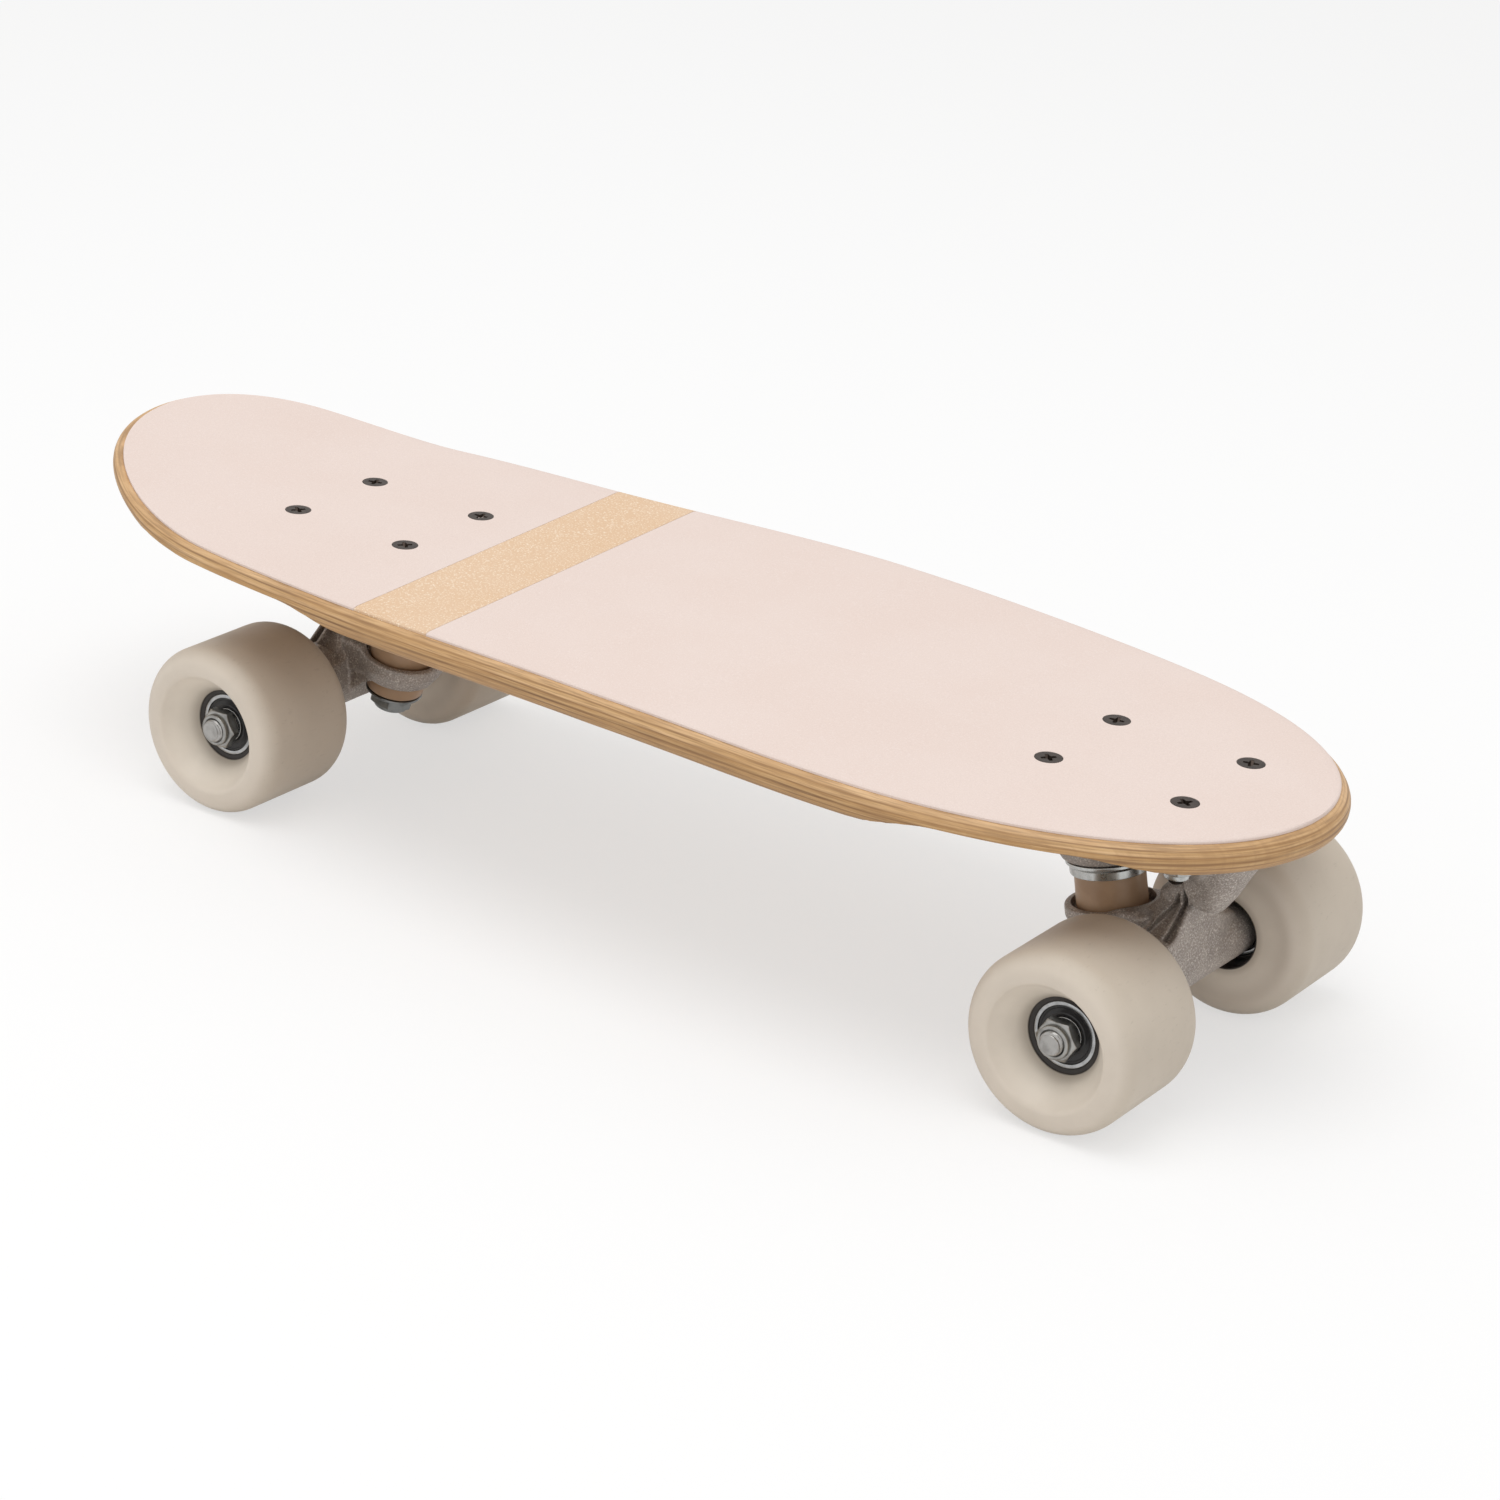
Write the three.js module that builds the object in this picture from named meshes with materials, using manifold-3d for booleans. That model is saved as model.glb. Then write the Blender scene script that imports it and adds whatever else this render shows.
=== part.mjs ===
// Cruiser skateboard: plywood deck, grip sheet, two steering trucks and four soft wheels.
// Units are millimetres. +X points to the nose, +Y to the board's left side, +Z up.
// The origin is on the floor, under the middle of the deck's length and width.
import * as THREE from 'three';
import { mergeVertices } from 'three/addons/utils/BufferGeometryUtils.js';
import Module from 'manifold-3d';

const wasm = await Module();
wasm.setup();

// Clearance between neighbours that touch on the real board, and overrun of every cutter.
const fitGap = 0.3;
const cutOverrun = 2;

// Deck. The nose and tail reaches are counted from the middle of the wheelbase, the widest place.
const deckWidth = 174;
const noseReach = 219;
const tailReach = 263.4;
const deckThickness = 10.5;
const camberRise = 2.5;
const kickSetback = 24.6;
const kickBlendLength = 50;
const kickSlope = 0.283;
const tailThinning = 4.2;
const truckFlatHalfLength = 30;
const noseFullnessPower = 3.4;
const tailFullnessPower = 7.3;
const tailTaperShare = 0.196;
const tailTaperPower = 1.2;

// Wheel wells: shallow hollows under the deck's edge, above each wheel, longer at the tail.
// Their ends are counted along the board from the middle of the bolt pattern, and the deck keeps
// the edge thickness over them.
const wellEdgeThickness = 5;
const wellRampLength = 22;
const wellInboard = 40;
const frontWellOutboard = 44;
const rearWellOutboard = 84;
const wellInnerEdge = 38;
const wellFullEdge = 53;

// Grip sheet: three strips. The light band lies across the board, slightly skewed.
const gripThickness = 0.8;
const gripInset = 3.6;
const bandWidth = 32.5;
const bandSetback = 92;
const bandSkewDegrees = 2.7;

// Deck bolts and their nuts.
const boltSpacingAlong = 49;
const boltSpacingAcross = 41.3;
const boltDiameter = 4.8;
const boltHeadDiameter = 9;
const boltHeadRim = 0.35;
const boltTail = 1.8;
const recessSpan = 5;
const recessSlot = 1.1;
const recessDepth = 1.5;
const deckNutFlats = 9.5;
const deckNutHeight = 3.6;
const deckNutCollar = 1.9;

// Trucks: where each one stands, and the points that set its steering axis.
const truckSpacing = 310.7;
const truckHeight = 54.1;
const axleSetOut = 15.9;
const ringSetIn = 7;
const ringRise = 11.5;
const pivotSetOut = 25;
const pivotRise = 31.5;
const kingpinLeanDegrees = 12;

// Baseplate.
const flangeThickness = 7.5;
const flangeWidth = 57;
const flangeInboard = 33;
const flangeOutboard = 39;
const flangeCornerRadius = 8;
const kingpinBossDiameter = 26;
const pivotBossWall = 1.8;
const pivotBossFloor = 2;
const pivotRidgeWidth = 13;

// Kingpin stack, along the kingpin.
const kingpinDiameter = 9.5;
const kingpinHeadFlats = 14.3;
const kingpinHeadHeight = 6;
const kingpinHeadCover = 1.2;
const kingpinTail = 1.2;
const kingpinNutHeight = 4.4;
const kingpinNutCollar = 1.5;
const bushingDiameter = 22.6;
const topBushingHeight = 16;
const bottomBushingDiameter = 20;
const bottomBushingHeight = 7.5;
const bottomBushingTip = 18.6;
const topWasherThickness = 2.2;
const topWasherFlare = 1.6;
const bottomWasherThickness = 0.9;
const bottomWasherDiameter = 19.4;

// Hanger: beam, bushing ring, rib, front web and pivot nose.
const hangerWidth = 80;
const beamDiameter = 18.2;
const beamMiddleDiameter = 17.4;
const beamEndChamfer = 1.5;
const ringDiameter = 29;
const ringBottomDiameter = 24.4;
const ringTopHeight = 4.6;
const ringBottomHeight = 5.2;
const ringTopCupDepth = 4.2;
const ringBottomCupDepth = 2.2;
const ringCupPlay = 0.9;
const kingpinPlay = 2.2;
const nutPlay = 4.2;
const yokeWidth = 23;
const webTopWidth = 7;
const webKneeWidth = 28;
const webKneeRise = 15.9;
const webFootWidth = 62;
const webFootRise = 11;
const webCrestDrop = 1.3;
const neckDiameter = 11;
const neckShoulderGap = 1.6;
const noseDiameter = 8.4;
const noseLength = 7;
const pivotCupWall = 1.2;
const pivotCupFloor = 1.2;

// Axle, wheels, bearings and axle nuts.
const axleDiameter = 8;
const axleChamfer = 0.8;
const axleTail = 1.6;
const wheelDiameter = 60;
const wheelWidth = 45;
const wheelEdgeRadius = 7;
const wheelCoreInnerDiameter = 17;
const innerRecessDiameter = 24.2;
const innerRecessChamfer = 0.5;
const outerRecessDepth = 12.3;
const throatFloorDiameter = 24;
const throatMouthDiameter = 25.8;
const throatDepth = 2.8;
const dishDiameter = 45;
const dishPower = 1.5;
const bearingDiameter = 22;
const bearingWidth = 7;
const bearingSpacing = 9.4;
const bearingShieldInset = 0.5;
const bearingRingWall = 1.6;
const speedWasherThickness = 1;
const speedWasherDiameter = 11.5;
const axleNutFlats = 12.7;
const axleNutHeight = 4;
const axleNutCollar = 1.8;

// Facets of the round pieces, and stations along the deck's outline.
const wheelSides = 24;
const ringSides = 16;
const pinSides = 12;
const boltSides = 8;
const arcSteps = 3;
const edgeSteps = 4;
const dishSteps = 3;
const wellStations = 12;
const noseStations = 19;
const tailStations = 21;

// Sizes worked out from the ones above.
const halfTurn = Math.PI;
const axleHeight = wheelDiameter / 2;
const baseplateTop = axleHeight + truckHeight;
const flangeBottom = baseplateTop - flangeThickness;
const deckBottom = baseplateTop + fitGap;
const deckTop = deckBottom + deckThickness;
const gripTop = deckTop + fitGap + gripThickness;
const widestX = (tailReach - noseReach) / 2;
const kickStart = truckSpacing / 2 + kickSetback;
const kingpinLean = THREE.MathUtils.degToRad(kingpinLeanDegrees);
const ringHeight = axleHeight + ringRise;
const steerRun = ringSetIn + pivotSetOut;
const steerRise = pivotRise - ringRise;
const steerTilt = Math.atan2(steerRise, steerRun);
const pivotReach = Math.hypot(steerRun, steerRise);
const cupOuterRadius = noseDiameter / 2 + fitGap + pivotCupWall;
const noseStart = pivotReach - noseLength / 2;
const noseEnd = noseStart + noseLength;
const cupEnd = noseEnd + fitGap + pivotCupFloor;

// Places along the kingpin, counted up from the ring's centre.
const topSeat = ringTopHeight - ringTopCupDepth;
const topBushingBottom = topSeat + fitGap;
const topBushingTop = topBushingBottom + topBushingHeight;
const topWasherBottom = topBushingTop + fitGap;
const topWasherTop = topWasherBottom + topWasherThickness;
const kingpinBossBottom = topWasherTop + fitGap;
const bottomSeat = ringBottomCupDepth - ringBottomHeight;
const bottomBushingTop = bottomSeat - fitGap;
const bottomBushingBottom = bottomBushingTop - bottomBushingHeight;
const bottomWasherTop = bottomBushingBottom - fitGap;
const bottomWasherBottom = bottomWasherTop - bottomWasherThickness;
const kingpinNutTop = bottomWasherBottom - fitGap;
const kingpinNutBottom = kingpinNutTop - kingpinNutHeight - kingpinNutCollar;
const hexCornerRadius = (flats) => flats / 2 / Math.cos(halfTurn / 6);
const kingpinHeadTop = (baseplateTop - kingpinHeadCover - ringHeight) / Math.cos(kingpinLean)
  - hexCornerRadius(kingpinHeadFlats) * Math.tan(kingpinLean);
const kingpinHeadBottom = kingpinHeadTop - kingpinHeadHeight;

// Places along the axle, counted out from the middle of the board.
const innerBearingStart = hangerWidth / 2 + fitGap + speedWasherThickness + fitGap;
const innerBearingEnd = innerBearingStart + bearingWidth;
const outerBearingStart = innerBearingEnd + bearingSpacing;
const outerBearingEnd = outerBearingStart + bearingWidth;
const wheelOuterFace = outerBearingEnd + outerRecessDepth;
const wheelInnerFace = wheelOuterFace - wheelWidth;
const washerStart = outerBearingEnd + fitGap;
const axleNutStart = washerStart + speedWasherThickness + fitGap;
const axleTip = axleNutStart + axleNutHeight + axleNutCollar + axleTail;

// Finishes: colour, roughness and metalness.
const finishes = {
  wood: { color: '#c79a63', roughness: 0.55, metalness: 0 },
  pinkGrip: { color: '#ebdad2', roughness: 0.9, metalness: 0 },
  lightBand: { color: '#e7d0b6', roughness: 0.85, metalness: 0 },
  darkSteel: { color: '#3a302a', roughness: 0.5, metalness: 0.6 },
  zinc: { color: '#c4c6c6', roughness: 0.3, metalness: 1 },
  steel: { color: '#a9a7a3', roughness: 0.3, metalness: 1 },
  castAluminium: { color: '#8f867f', roughness: 0.55, metalness: 0.8 },
  brownUrethane: { color: '#a37d5e', roughness: 0.5, metalness: 0 },
  greyWheel: { color: '#dcd3c9', roughness: 0.45, metalness: 0 },
  blackSeal: { color: '#26262a', roughness: 0.45, metalness: 0.2 },
  darkPlastic: { color: '#2b2a29', roughness: 0.6, metalness: 0 },
};

// Weld a geometry to shared vertices and drop the triangles that collapse at a pole.
function weld(geometry) {
  const bare = geometry.clone();
  bare.deleteAttribute('normal');
  bare.deleteAttribute('uv');
  const merged = mergeVertices(bare);
  const index = merged.getIndex().array;
  const kept = [];
  for (let i = 0; i < index.length; i += 3) {
    const [a, b, c] = [index[i], index[i + 1], index[i + 2]];
    if (a !== b && b !== c && c !== a) kept.push(a, b, c);
  }
  merged.setIndex(kept);
  return merged;
}

// A closed solid for joining and cutting.
function solid(geometry) {
  const merged = weld(geometry);
  return new wasm.Manifold(new wasm.Mesh({
    numProp: 3,
    vertProperties: Float32Array.from(merged.getAttribute('position').array),
    triVerts: Uint32Array.from(merged.getIndex().array),
  }));
}

// The geometry of a solid, welded and with its normals.
function geometryOf(shape) {
  const mesh = shape.getMesh();
  const geometry = new THREE.BufferGeometry();
  geometry.setAttribute('position', new THREE.BufferAttribute(mesh.vertProperties, 3));
  geometry.setIndex(new THREE.BufferAttribute(mesh.triVerts, 1));
  geometry.computeVertexNormals();
  return geometry;
}

const joined = (shapes) => shapes.reduce((total, shape) => total.add(shape));
const cutFrom = (shape, cutters) => cutters.reduce((left, cutter) => left.subtract(cutter), shape);

// A turned piece about the Y axis. Profile points are [radius, height], up the outside.
function turnedY(profile, sides) {
  const points = profile.map(([radius, height]) => new THREE.Vector2(radius, height));
  return new THREE.LatheGeometry(points, sides);
}

// The same, about the Z axis.
const turnedZ = (profile, sides) => turnedY(profile, sides).rotateX(halfTurn / 2);

// A plain round or hexagonal bar from one height to another, about the Z axis.
function barZ(radius, bottom, top, sides) {
  return turnedZ([[0, bottom], [radius, bottom], [radius, top], [0, top]], sides);
}

// A ring of square section about the Z axis.
function ringZ(inner, outer, bottom, top, sides) {
  const profile = [[inner, bottom], [outer, bottom], [outer, top], [inner, top], [inner, bottom]];
  return turnedZ(profile, sides);
}

// A flat outline in the XZ plane, made a plate of the given width, centred on y = 0.
function plateXZ(points, width) {
  const shape = new THREE.Shape(points.map(([x, z]) => new THREE.Vector2(x, z)));
  const plate = new THREE.ExtrudeGeometry(shape, { depth: width, bevelEnabled: false });
  return plate.rotateX(halfTurn / 2).translate(0, width / 2, 0);
}

// A box given by its lowest and highest corners.
function boxBetween(low, high) {
  const size = high.map((value, i) => value - low[i]);
  const centre = high.map((value, i) => (value + low[i]) / 2);
  return new THREE.BoxGeometry(...size).translate(...centre);
}

// Points of a quarter round, from one angle to another about a centre.
function arcPoints(centreA, centreB, radius, from, to, steps) {
  return Array.from({ length: steps + 1 }, (_, i) => {
    const angle = from + (to - from) * (i / steps);
    return [centreA + radius * Math.cos(angle), centreB + radius * Math.sin(angle)];
  });
}

// Height of the deck's surface above its flat truck zones, at a place along the board.
function surfaceRise(x) {
  const along = x - widestX;
  const camberHalf = truckSpacing / 2 - truckFlatHalfLength;
  if (Math.abs(along) < camberHalf) {
    return camberRise * (1 + Math.cos(halfTurn * along / camberHalf)) / 2;
  }
  const past = -along - kickStart;
  if (past <= 0) return 0;
  if (past < kickBlendLength) return kickSlope * past * past / (2 * kickBlendLength);
  return kickSlope * (past - kickBlendLength / 2);
}

// The deck's thickness at a place along the board: it thins from the kick's start to the tail.
function thicknessAt(x) {
  const share = THREE.MathUtils.smoothstep(widestX - x - kickStart, 0, kickBlendLength);
  return deckThickness - tailThinning * share;
}

// Half the deck's width at a share of the way to the nose or the tail.
function halfWidthAt(share, isTail) {
  const half = deckWidth / 2;
  if (!isTail) return half * Math.sqrt(1 - share ** noseFullnessPower);
  const taper = 1 - tailTaperShare * share ** tailTaperPower;
  return half * taper * Math.sqrt(1 - share ** tailFullnessPower);
}

// The left half of the deck's outline, from the nose tip to the tail tip.
function leftOutline() {
  const toTip = (k, count) => 1 - (1 - k / count) ** 2;
  const points = [];
  for (let k = noseStations; k >= 0; k -= 1) {
    const share = toTip(k, noseStations);
    points.push([widestX + noseReach * share, halfWidthAt(share, false)]);
  }
  for (let k = 1; k <= tailStations; k += 1) {
    const share = toTip(k, tailStations);
    points.push([widestX - tailReach * share, halfWidthAt(share, true)]);
  }
  return points;
}

// The whole outline, with the direction that points out of it at each point.
function deckOutline() {
  const left = leftOutline();
  const right = left.slice(1, -1).reverse().map(([x, y]) => [x, -y]);
  const loop = [...left, ...right];
  return loop.map(([x, y], i) => {
    const before = loop[(i + loop.length - 1) % loop.length];
    const after = loop[(i + 1) % loop.length];
    const run = new THREE.Vector2(after[1] - before[1], before[0] - after[0]).normalize();
    return { x, y, outX: run.x, outY: run.y };
  });
}

// One ring of vertices: the outline drawn in by an inset, at a height over the surface.
function outlineRing(outline, inset, height) {
  return outline.map(({ x, y, outX, outY }) => {
    const px = x - outX * inset;
    return [px, y - outY * inset, height + surfaceRise(px)];
  });
}

// One ring of the deck's rounded edge, at an angle up from the middle of its thickness.
function edgeRing(outline, angle) {
  return outline.map(({ x, y, outX, outY }) => {
    const radius = thicknessAt(x) / 2;
    const inset = radius * (1 - Math.cos(angle));
    const px = x - outX * inset;
    const drop = radius * (1 - Math.sin(angle));
    return [px, y - outY * inset, deckTop - drop + surfaceRise(px)];
  });
}

// A closed body through rings of an outline, from the top ring to the bottom ring.
function loftedBody(rings) {
  const count = rings[0].length;
  const index = [];
  const quad = (a, b, c, d) => index.push(a, b, c, a, c, d);
  rings.slice(1).forEach((_, r) => {
    const upper = r * count;
    const lower = upper + count;
    for (let i = 0; i < count; i += 1) {
      const next = (i + 1) % count;
      quad(upper + i, lower + i, lower + next, upper + next);
    }
  });
  const bottom = (rings.length - 1) * count;
  for (let i = 0; i < count / 2; i += 1) {
    const near = (count - i) % count;
    const far = count - i - 1;
    const top = [i, i + 1, far, near].filter((value, k, all) => all.indexOf(value) === k);
    for (let k = 1; k + 1 < top.length; k += 1) {
      index.push(top[0], top[k], top[k + 1]);
      index.push(bottom + top[0], bottom + top[k + 1], bottom + top[k]);
    }
  }
  const geometry = new THREE.BufferGeometry();
  geometry.setAttribute('position', new THREE.Float32BufferAttribute(rings.flat(2), 3));
  geometry.setIndex(index);
  return geometry;
}

// Centres of the two trucks' bolt patterns, with the direction of their outboard side.
const trucks = [
  {
    name: 'front', x: widestX + truckSpacing / 2, outboard: 1, wellOutboard: frontWellOutboard,
  },
  {
    name: 'rear', x: widestX - truckSpacing / 2, outboard: -1, wellOutboard: rearWellOutboard,
  },
];
const sides = [{ name: 'left', across: 1 }, { name: 'right', across: -1 }];

// The four bolts of a truck, named by their place on the board.
function boltPlaces(truck) {
  return [{ name: 'outer', along: 1 }, { name: 'inner', along: -1 }].flatMap((row) => (
    sides.map((side) => ({
      name: `${truck.name}_${row.name}_${side.name}`,
      x: truck.x + truck.outboard * row.along * boltSpacingAlong / 2,
      y: side.across * boltSpacingAcross / 2,
    }))));
}

// Profile of a countersunk bolt, grown by a clearance for the hole that takes it.
function boltProfile(bottom, top, grow) {
  const shank = boltDiameter / 2 + grow;
  const head = boltHeadDiameter / 2 + grow;
  const rimBottom = gripTop - boltHeadRim;
  const coneBottom = rimBottom - (head - shank);
  return [[0, bottom], [shank, bottom], [shank, coneBottom], [head, rimBottom], [head, top], [0, top]];
}

// Cutters for the bolts of both trucks, through everything that they clamp.
function boltHoles() {
  const cutter = turnedZ(boltProfile(0, gripTop + cutOverrun, fitGap), boltSides);
  return trucks.flatMap(boltPlaces).map(({ x, y }) => solid(cutter.clone().translate(x, y, 0)));
}

// A long body through sections that each have the same number of corners, closed at both ends.
function sweptBody(sections) {
  const count = sections[0].length;
  const last = (sections.length - 1) * count;
  const index = [];
  sections.slice(1).forEach((_, section) => {
    for (let i = 0; i < count; i += 1) {
      const [a, b] = [section * count + i, section * count + (i + 1) % count];
      index.push(a, b, b + count, a, b + count, a + count);
    }
  });
  for (let i = 1; i + 1 < count; i += 1) {
    index.push(0, i + 1, i, last, last + i, last + i + 1);
  }
  const geometry = new THREE.BufferGeometry();
  geometry.setAttribute('position', new THREE.Float32BufferAttribute(sections.flat(2), 3));
  geometry.setIndex(index);
  return geometry;
}

// One wheel well's cutter. Its depth follows the deck's underside and fades out at both ends.
function wheelWell(truck, side) {
  const from = truck.x - truck.outboard * wellInboard;
  const to = truck.x + truck.outboard * truck.wellOutboard;
  const sections = Array.from({ length: wellStations + 1 }, (_, i) => {
    const x = from + (to - from) * (i / wellStations);
    const toEnd = Math.min(Math.abs(x - from), Math.abs(to - x));
    const fade = Math.sin(halfTurn / 2 * Math.min(1, toEnd / wellRampLength));
    const top = deckTop + surfaceRise(x);
    const under = top - thicknessAt(x);
    const roof = under + Math.max(0, thicknessAt(x) - wellEdgeThickness) * fade;
    return [
      [x, side.across * wellInnerEdge, under - fitGap],
      [x, side.across * deckWidth, under - deckThickness],
      [x, side.across * deckWidth, roof],
      [x, side.across * wellFullEdge, roof],
    ];
  });
  const isTurned = side.across * truck.outboard < 0;
  return solid(sweptBody(isTurned ? sections.map((section) => section.reverse()) : sections));
}

// The four wells' cutters.
function wheelWells() {
  return trucks.flatMap((truck) => sides.map((side) => wheelWell(truck, side)));
}

// The plywood deck: a rounded edge between flat faces, wheel wells and bolt holes.
function deckBody() {
  const outline = deckOutline();
  const rings = Array.from({ length: edgeSteps + 1 }, (_, i) => (
    edgeRing(outline, halfTurn * (1 / 2 - i / edgeSteps))));
  return geometryOf(cutFrom(solid(loftedBody(rings)), [...wheelWells(), ...boltHoles()]));
}

// The three strips of the grip sheet.
function gripStrips() {
  const outline = deckOutline();
  const sheet = loftedBody([
    outlineRing(outline, gripInset, gripTop),
    outlineRing(outline, gripInset, gripTop - gripThickness),
  ]);
  const whole = cutFrom(solid(sheet), boltHoles());
  const half = bandWidth / 2;
  const skew = THREE.MathUtils.degToRad(bandSkewDegrees);
  const strips = [
    ['grip_tail', -tailReach, -half - fitGap, finishes.pinkGrip],
    ['grip_band', -half, half, finishes.lightBand],
    ['grip_front', half + fitGap, noseReach + tailReach, finishes.pinkGrip],
  ];
  return strips.map(([name, from, to, finish]) => {
    const part = boxBetween([from, -deckWidth, 0], [to, deckWidth, gripTop + tailReach])
      .rotateZ(skew).translate(widestX - bandSetback, 0, 0);
    return piece(name, geometryOf(whole.intersect(solid(part))), finish);
  });
}

// A named mesh with its own material.
function piece(name, geometry, finish) {
  const mesh = new THREE.Mesh(geometry, new THREE.MeshStandardMaterial(finish));
  mesh.name = name;
  return mesh;
}

// A countersunk bolt with a cross recess, standing in the board's frame.
function deckBoltBody() {
  const nutBottom = flangeBottom - fitGap - deckNutHeight - deckNutCollar;
  const bolt = solid(turnedZ(boltProfile(nutBottom - boltTail, gripTop, 0), boltSides));
  const floor = gripTop - recessDepth;
  const over = gripTop + cutOverrun;
  const long = boxBetween([-recessSpan / 2, -recessSlot / 2, floor], [recessSpan / 2, recessSlot / 2, over]);
  const cross = long.clone().rotateZ(halfTurn / 2);
  return geometryOf(cutFrom(bolt, [solid(long), solid(cross)]));
}

// A lock nut from z = 0 upwards: hexagon, then the round collar that holds the insert.
function lockNutBody(flats, height, collar, bore, sidesOfCollar) {
  const hexagon = barZ(hexCornerRadius(flats), 0, height, 6);
  const round = flats / 2 - fitGap;
  const top = height + collar;
  const shoulder = height + collar / 2;
  const lip = round - collar / 2;
  const dome = turnedZ([[0, 0], [round, 0], [round, shoulder], [lip, top], [0, top]], sidesOfCollar);
  const hole = barZ(bore / 2 + fitGap, -cutOverrun, top + cutOverrun, pinSides);
  return geometryOf(cutFrom(solid(hexagon).add(solid(dome)), [solid(hole)]));
}

// The deck bolts and their nuts, all fixed to the deck.
function deckFasteners() {
  const bolt = deckBoltBody();
  const nut = lockNutBody(deckNutFlats, deckNutHeight, deckNutCollar, boltDiameter, boltSides);
  nut.rotateX(halfTurn).translate(0, 0, flangeBottom - fitGap);
  return trucks.flatMap(boltPlaces).flatMap(({ name, x, y }) => {
    const boltPiece = piece(`deck_bolt_${name}`, bolt.clone(), finishes.darkSteel);
    const nutPiece = piece(`deck_nut_${name}`, nut.clone(), finishes.zinc);
    boltPiece.position.set(x, y, 0);
    nutPiece.position.set(x, y, 0);
    return [boltPiece, nutPiece];
  });
}

// In a truck's own frame +X points outboard and the origin is under its bolt pattern.
// These two put a shape that is turned about Z on the kingpin, or on the steering axis.
function onKingpin(geometry) {
  return geometry.rotateY(-kingpinLean).translate(-ringSetIn, 0, ringHeight);
}

function onSteerAxis(geometry) {
  return geometry.rotateY(halfTurn / 2 - steerTilt).translate(-ringSetIn, 0, ringHeight);
}

// A point of the truck's middle plane, at a reach along the steering axis and a rise square to it.
function steerPoint(reach, rise) {
  const along = [Math.cos(steerTilt), Math.sin(steerTilt)];
  return [
    -ringSetIn + reach * along[0] - rise * along[1],
    ringHeight + reach * along[1] + rise * along[0],
  ];
}

// The flange that is bolted to the deck, with rounded corners.
function flangeBody() {
  const half = flangeWidth / 2;
  const corner = flangeCornerRadius;
  const outline = new THREE.Shape([
    [flangeOutboard - corner, half - corner, 0],
    [corner - flangeInboard, half - corner, 1],
    [corner - flangeInboard, corner - half, 2],
    [flangeOutboard - corner, corner - half, 3],
  ].flatMap(([x, y, quarter]) => {
    const start = quarter * halfTurn / 2;
    return arcPoints(x, y, corner, start, start + halfTurn / 2, arcSteps);
  }).map(([x, y]) => new THREE.Vector2(x, y)));
  const plate = new THREE.ExtrudeGeometry(outline, { depth: flangeThickness, bevelEnabled: false });
  return plate.translate(0, 0, flangeBottom);
}

// The cast baseplate: flange, kingpin boss, and pivot boss with the ridge that carries it.
function baseplateBody() {
  const bossRadius = cupOuterRadius + fitGap + pivotBossWall;
  const mouth = noseStart;
  const bossEnd = cupEnd + fitGap + pivotBossFloor;
  const middleOfFlange = flangeBottom + flangeThickness / 2;
  const bossTop = (middleOfFlange - ringHeight) / Math.cos(kingpinLean);
  const kingpinBoss = onKingpin(barZ(kingpinBossDiameter / 2, kingpinBossBottom, bossTop, ringSides));
  const pivotBoss = onSteerAxis(turnedZ([
    [0, mouth], [bossRadius, mouth], [bossRadius, bossEnd - pivotBossFloor],
    [bossRadius - pivotBossFloor, bossEnd], [0, bossEnd],
  ], ringSides));
  const ridge = plateXZ([
    steerPoint(mouth, 0), steerPoint(bossEnd - pivotBossFloor, 0),
    [flangeOutboard - flangeCornerRadius, middleOfFlange],
    [steerPoint(mouth, bossRadius)[0] - pivotBossWall, middleOfFlange],
  ], pivotRidgeWidth);
  const cast = joined([flangeBody(), kingpinBoss, pivotBoss, ridge].map(solid));
  const headCorner = hexCornerRadius(kingpinHeadFlats) + fitGap;
  const over = kingpinHeadTop + flangeThickness;
  const cutters = [
    onKingpin(barZ(kingpinDiameter / 2 + fitGap, 0, kingpinHeadBottom, pinSides)),
    onKingpin(barZ(headCorner, kingpinHeadBottom - fitGap, over, 6)),
    onSteerAxis(barZ(cupOuterRadius + fitGap, mouth - pivotReach / 2, cupEnd + fitGap, pinSides)),
    boxBetween([-tailReach, -deckWidth, baseplateTop], [tailReach, deckWidth, baseplateTop + over]),
  ];
  const reach = boltDiameter / 2 + fitGap;
  [-1, 1].forEach((along) => [-1, 1].forEach((across) => {
    const hole = barZ(reach, flangeBottom - flangeThickness, baseplateTop + cutOverrun, boltSides);
    cutters.push(hole.translate(along * boltSpacingAlong / 2, across * boltSpacingAcross / 2, 0));
  }));
  return geometryOf(cutFrom(cast, cutters.map(solid)));
}

// The kingpin: hexagonal head in the baseplate's pocket, plain shank and chamfered tip.
function kingpinBody() {
  const radius = kingpinDiameter / 2;
  const tip = kingpinNutBottom - kingpinTail;
  const shank = turnedZ([
    [0, tip], [radius - axleChamfer, tip], [radius, tip + axleChamfer],
    [radius, kingpinHeadTop - kingpinHeadHeight / 2], [0, kingpinHeadTop - kingpinHeadHeight / 2],
  ], pinSides);
  const head = barZ(hexCornerRadius(kingpinHeadFlats), kingpinHeadBottom, kingpinHeadTop, 6);
  return geometryOf(solid(shank).add(solid(head)));
}

// The barrel-shaped bushing between the ring and the baseplate.
function topBushingBody() {
  const inner = kingpinDiameter / 2 + fitGap;
  return ringZ(inner, bushingDiameter / 2, topBushingBottom, topBushingTop, ringSides);
}

// The cone-shaped bushing under the ring.
function bottomBushingBody() {
  const inner = kingpinDiameter / 2 + fitGap;
  return turnedZ([
    [inner, bottomBushingBottom], [bottomBushingTip / 2, bottomBushingBottom],
    [bottomBushingDiameter / 2, bottomBushingTop], [inner, bottomBushingTop],
    [inner, bottomBushingBottom],
  ], ringSides);
}

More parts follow.
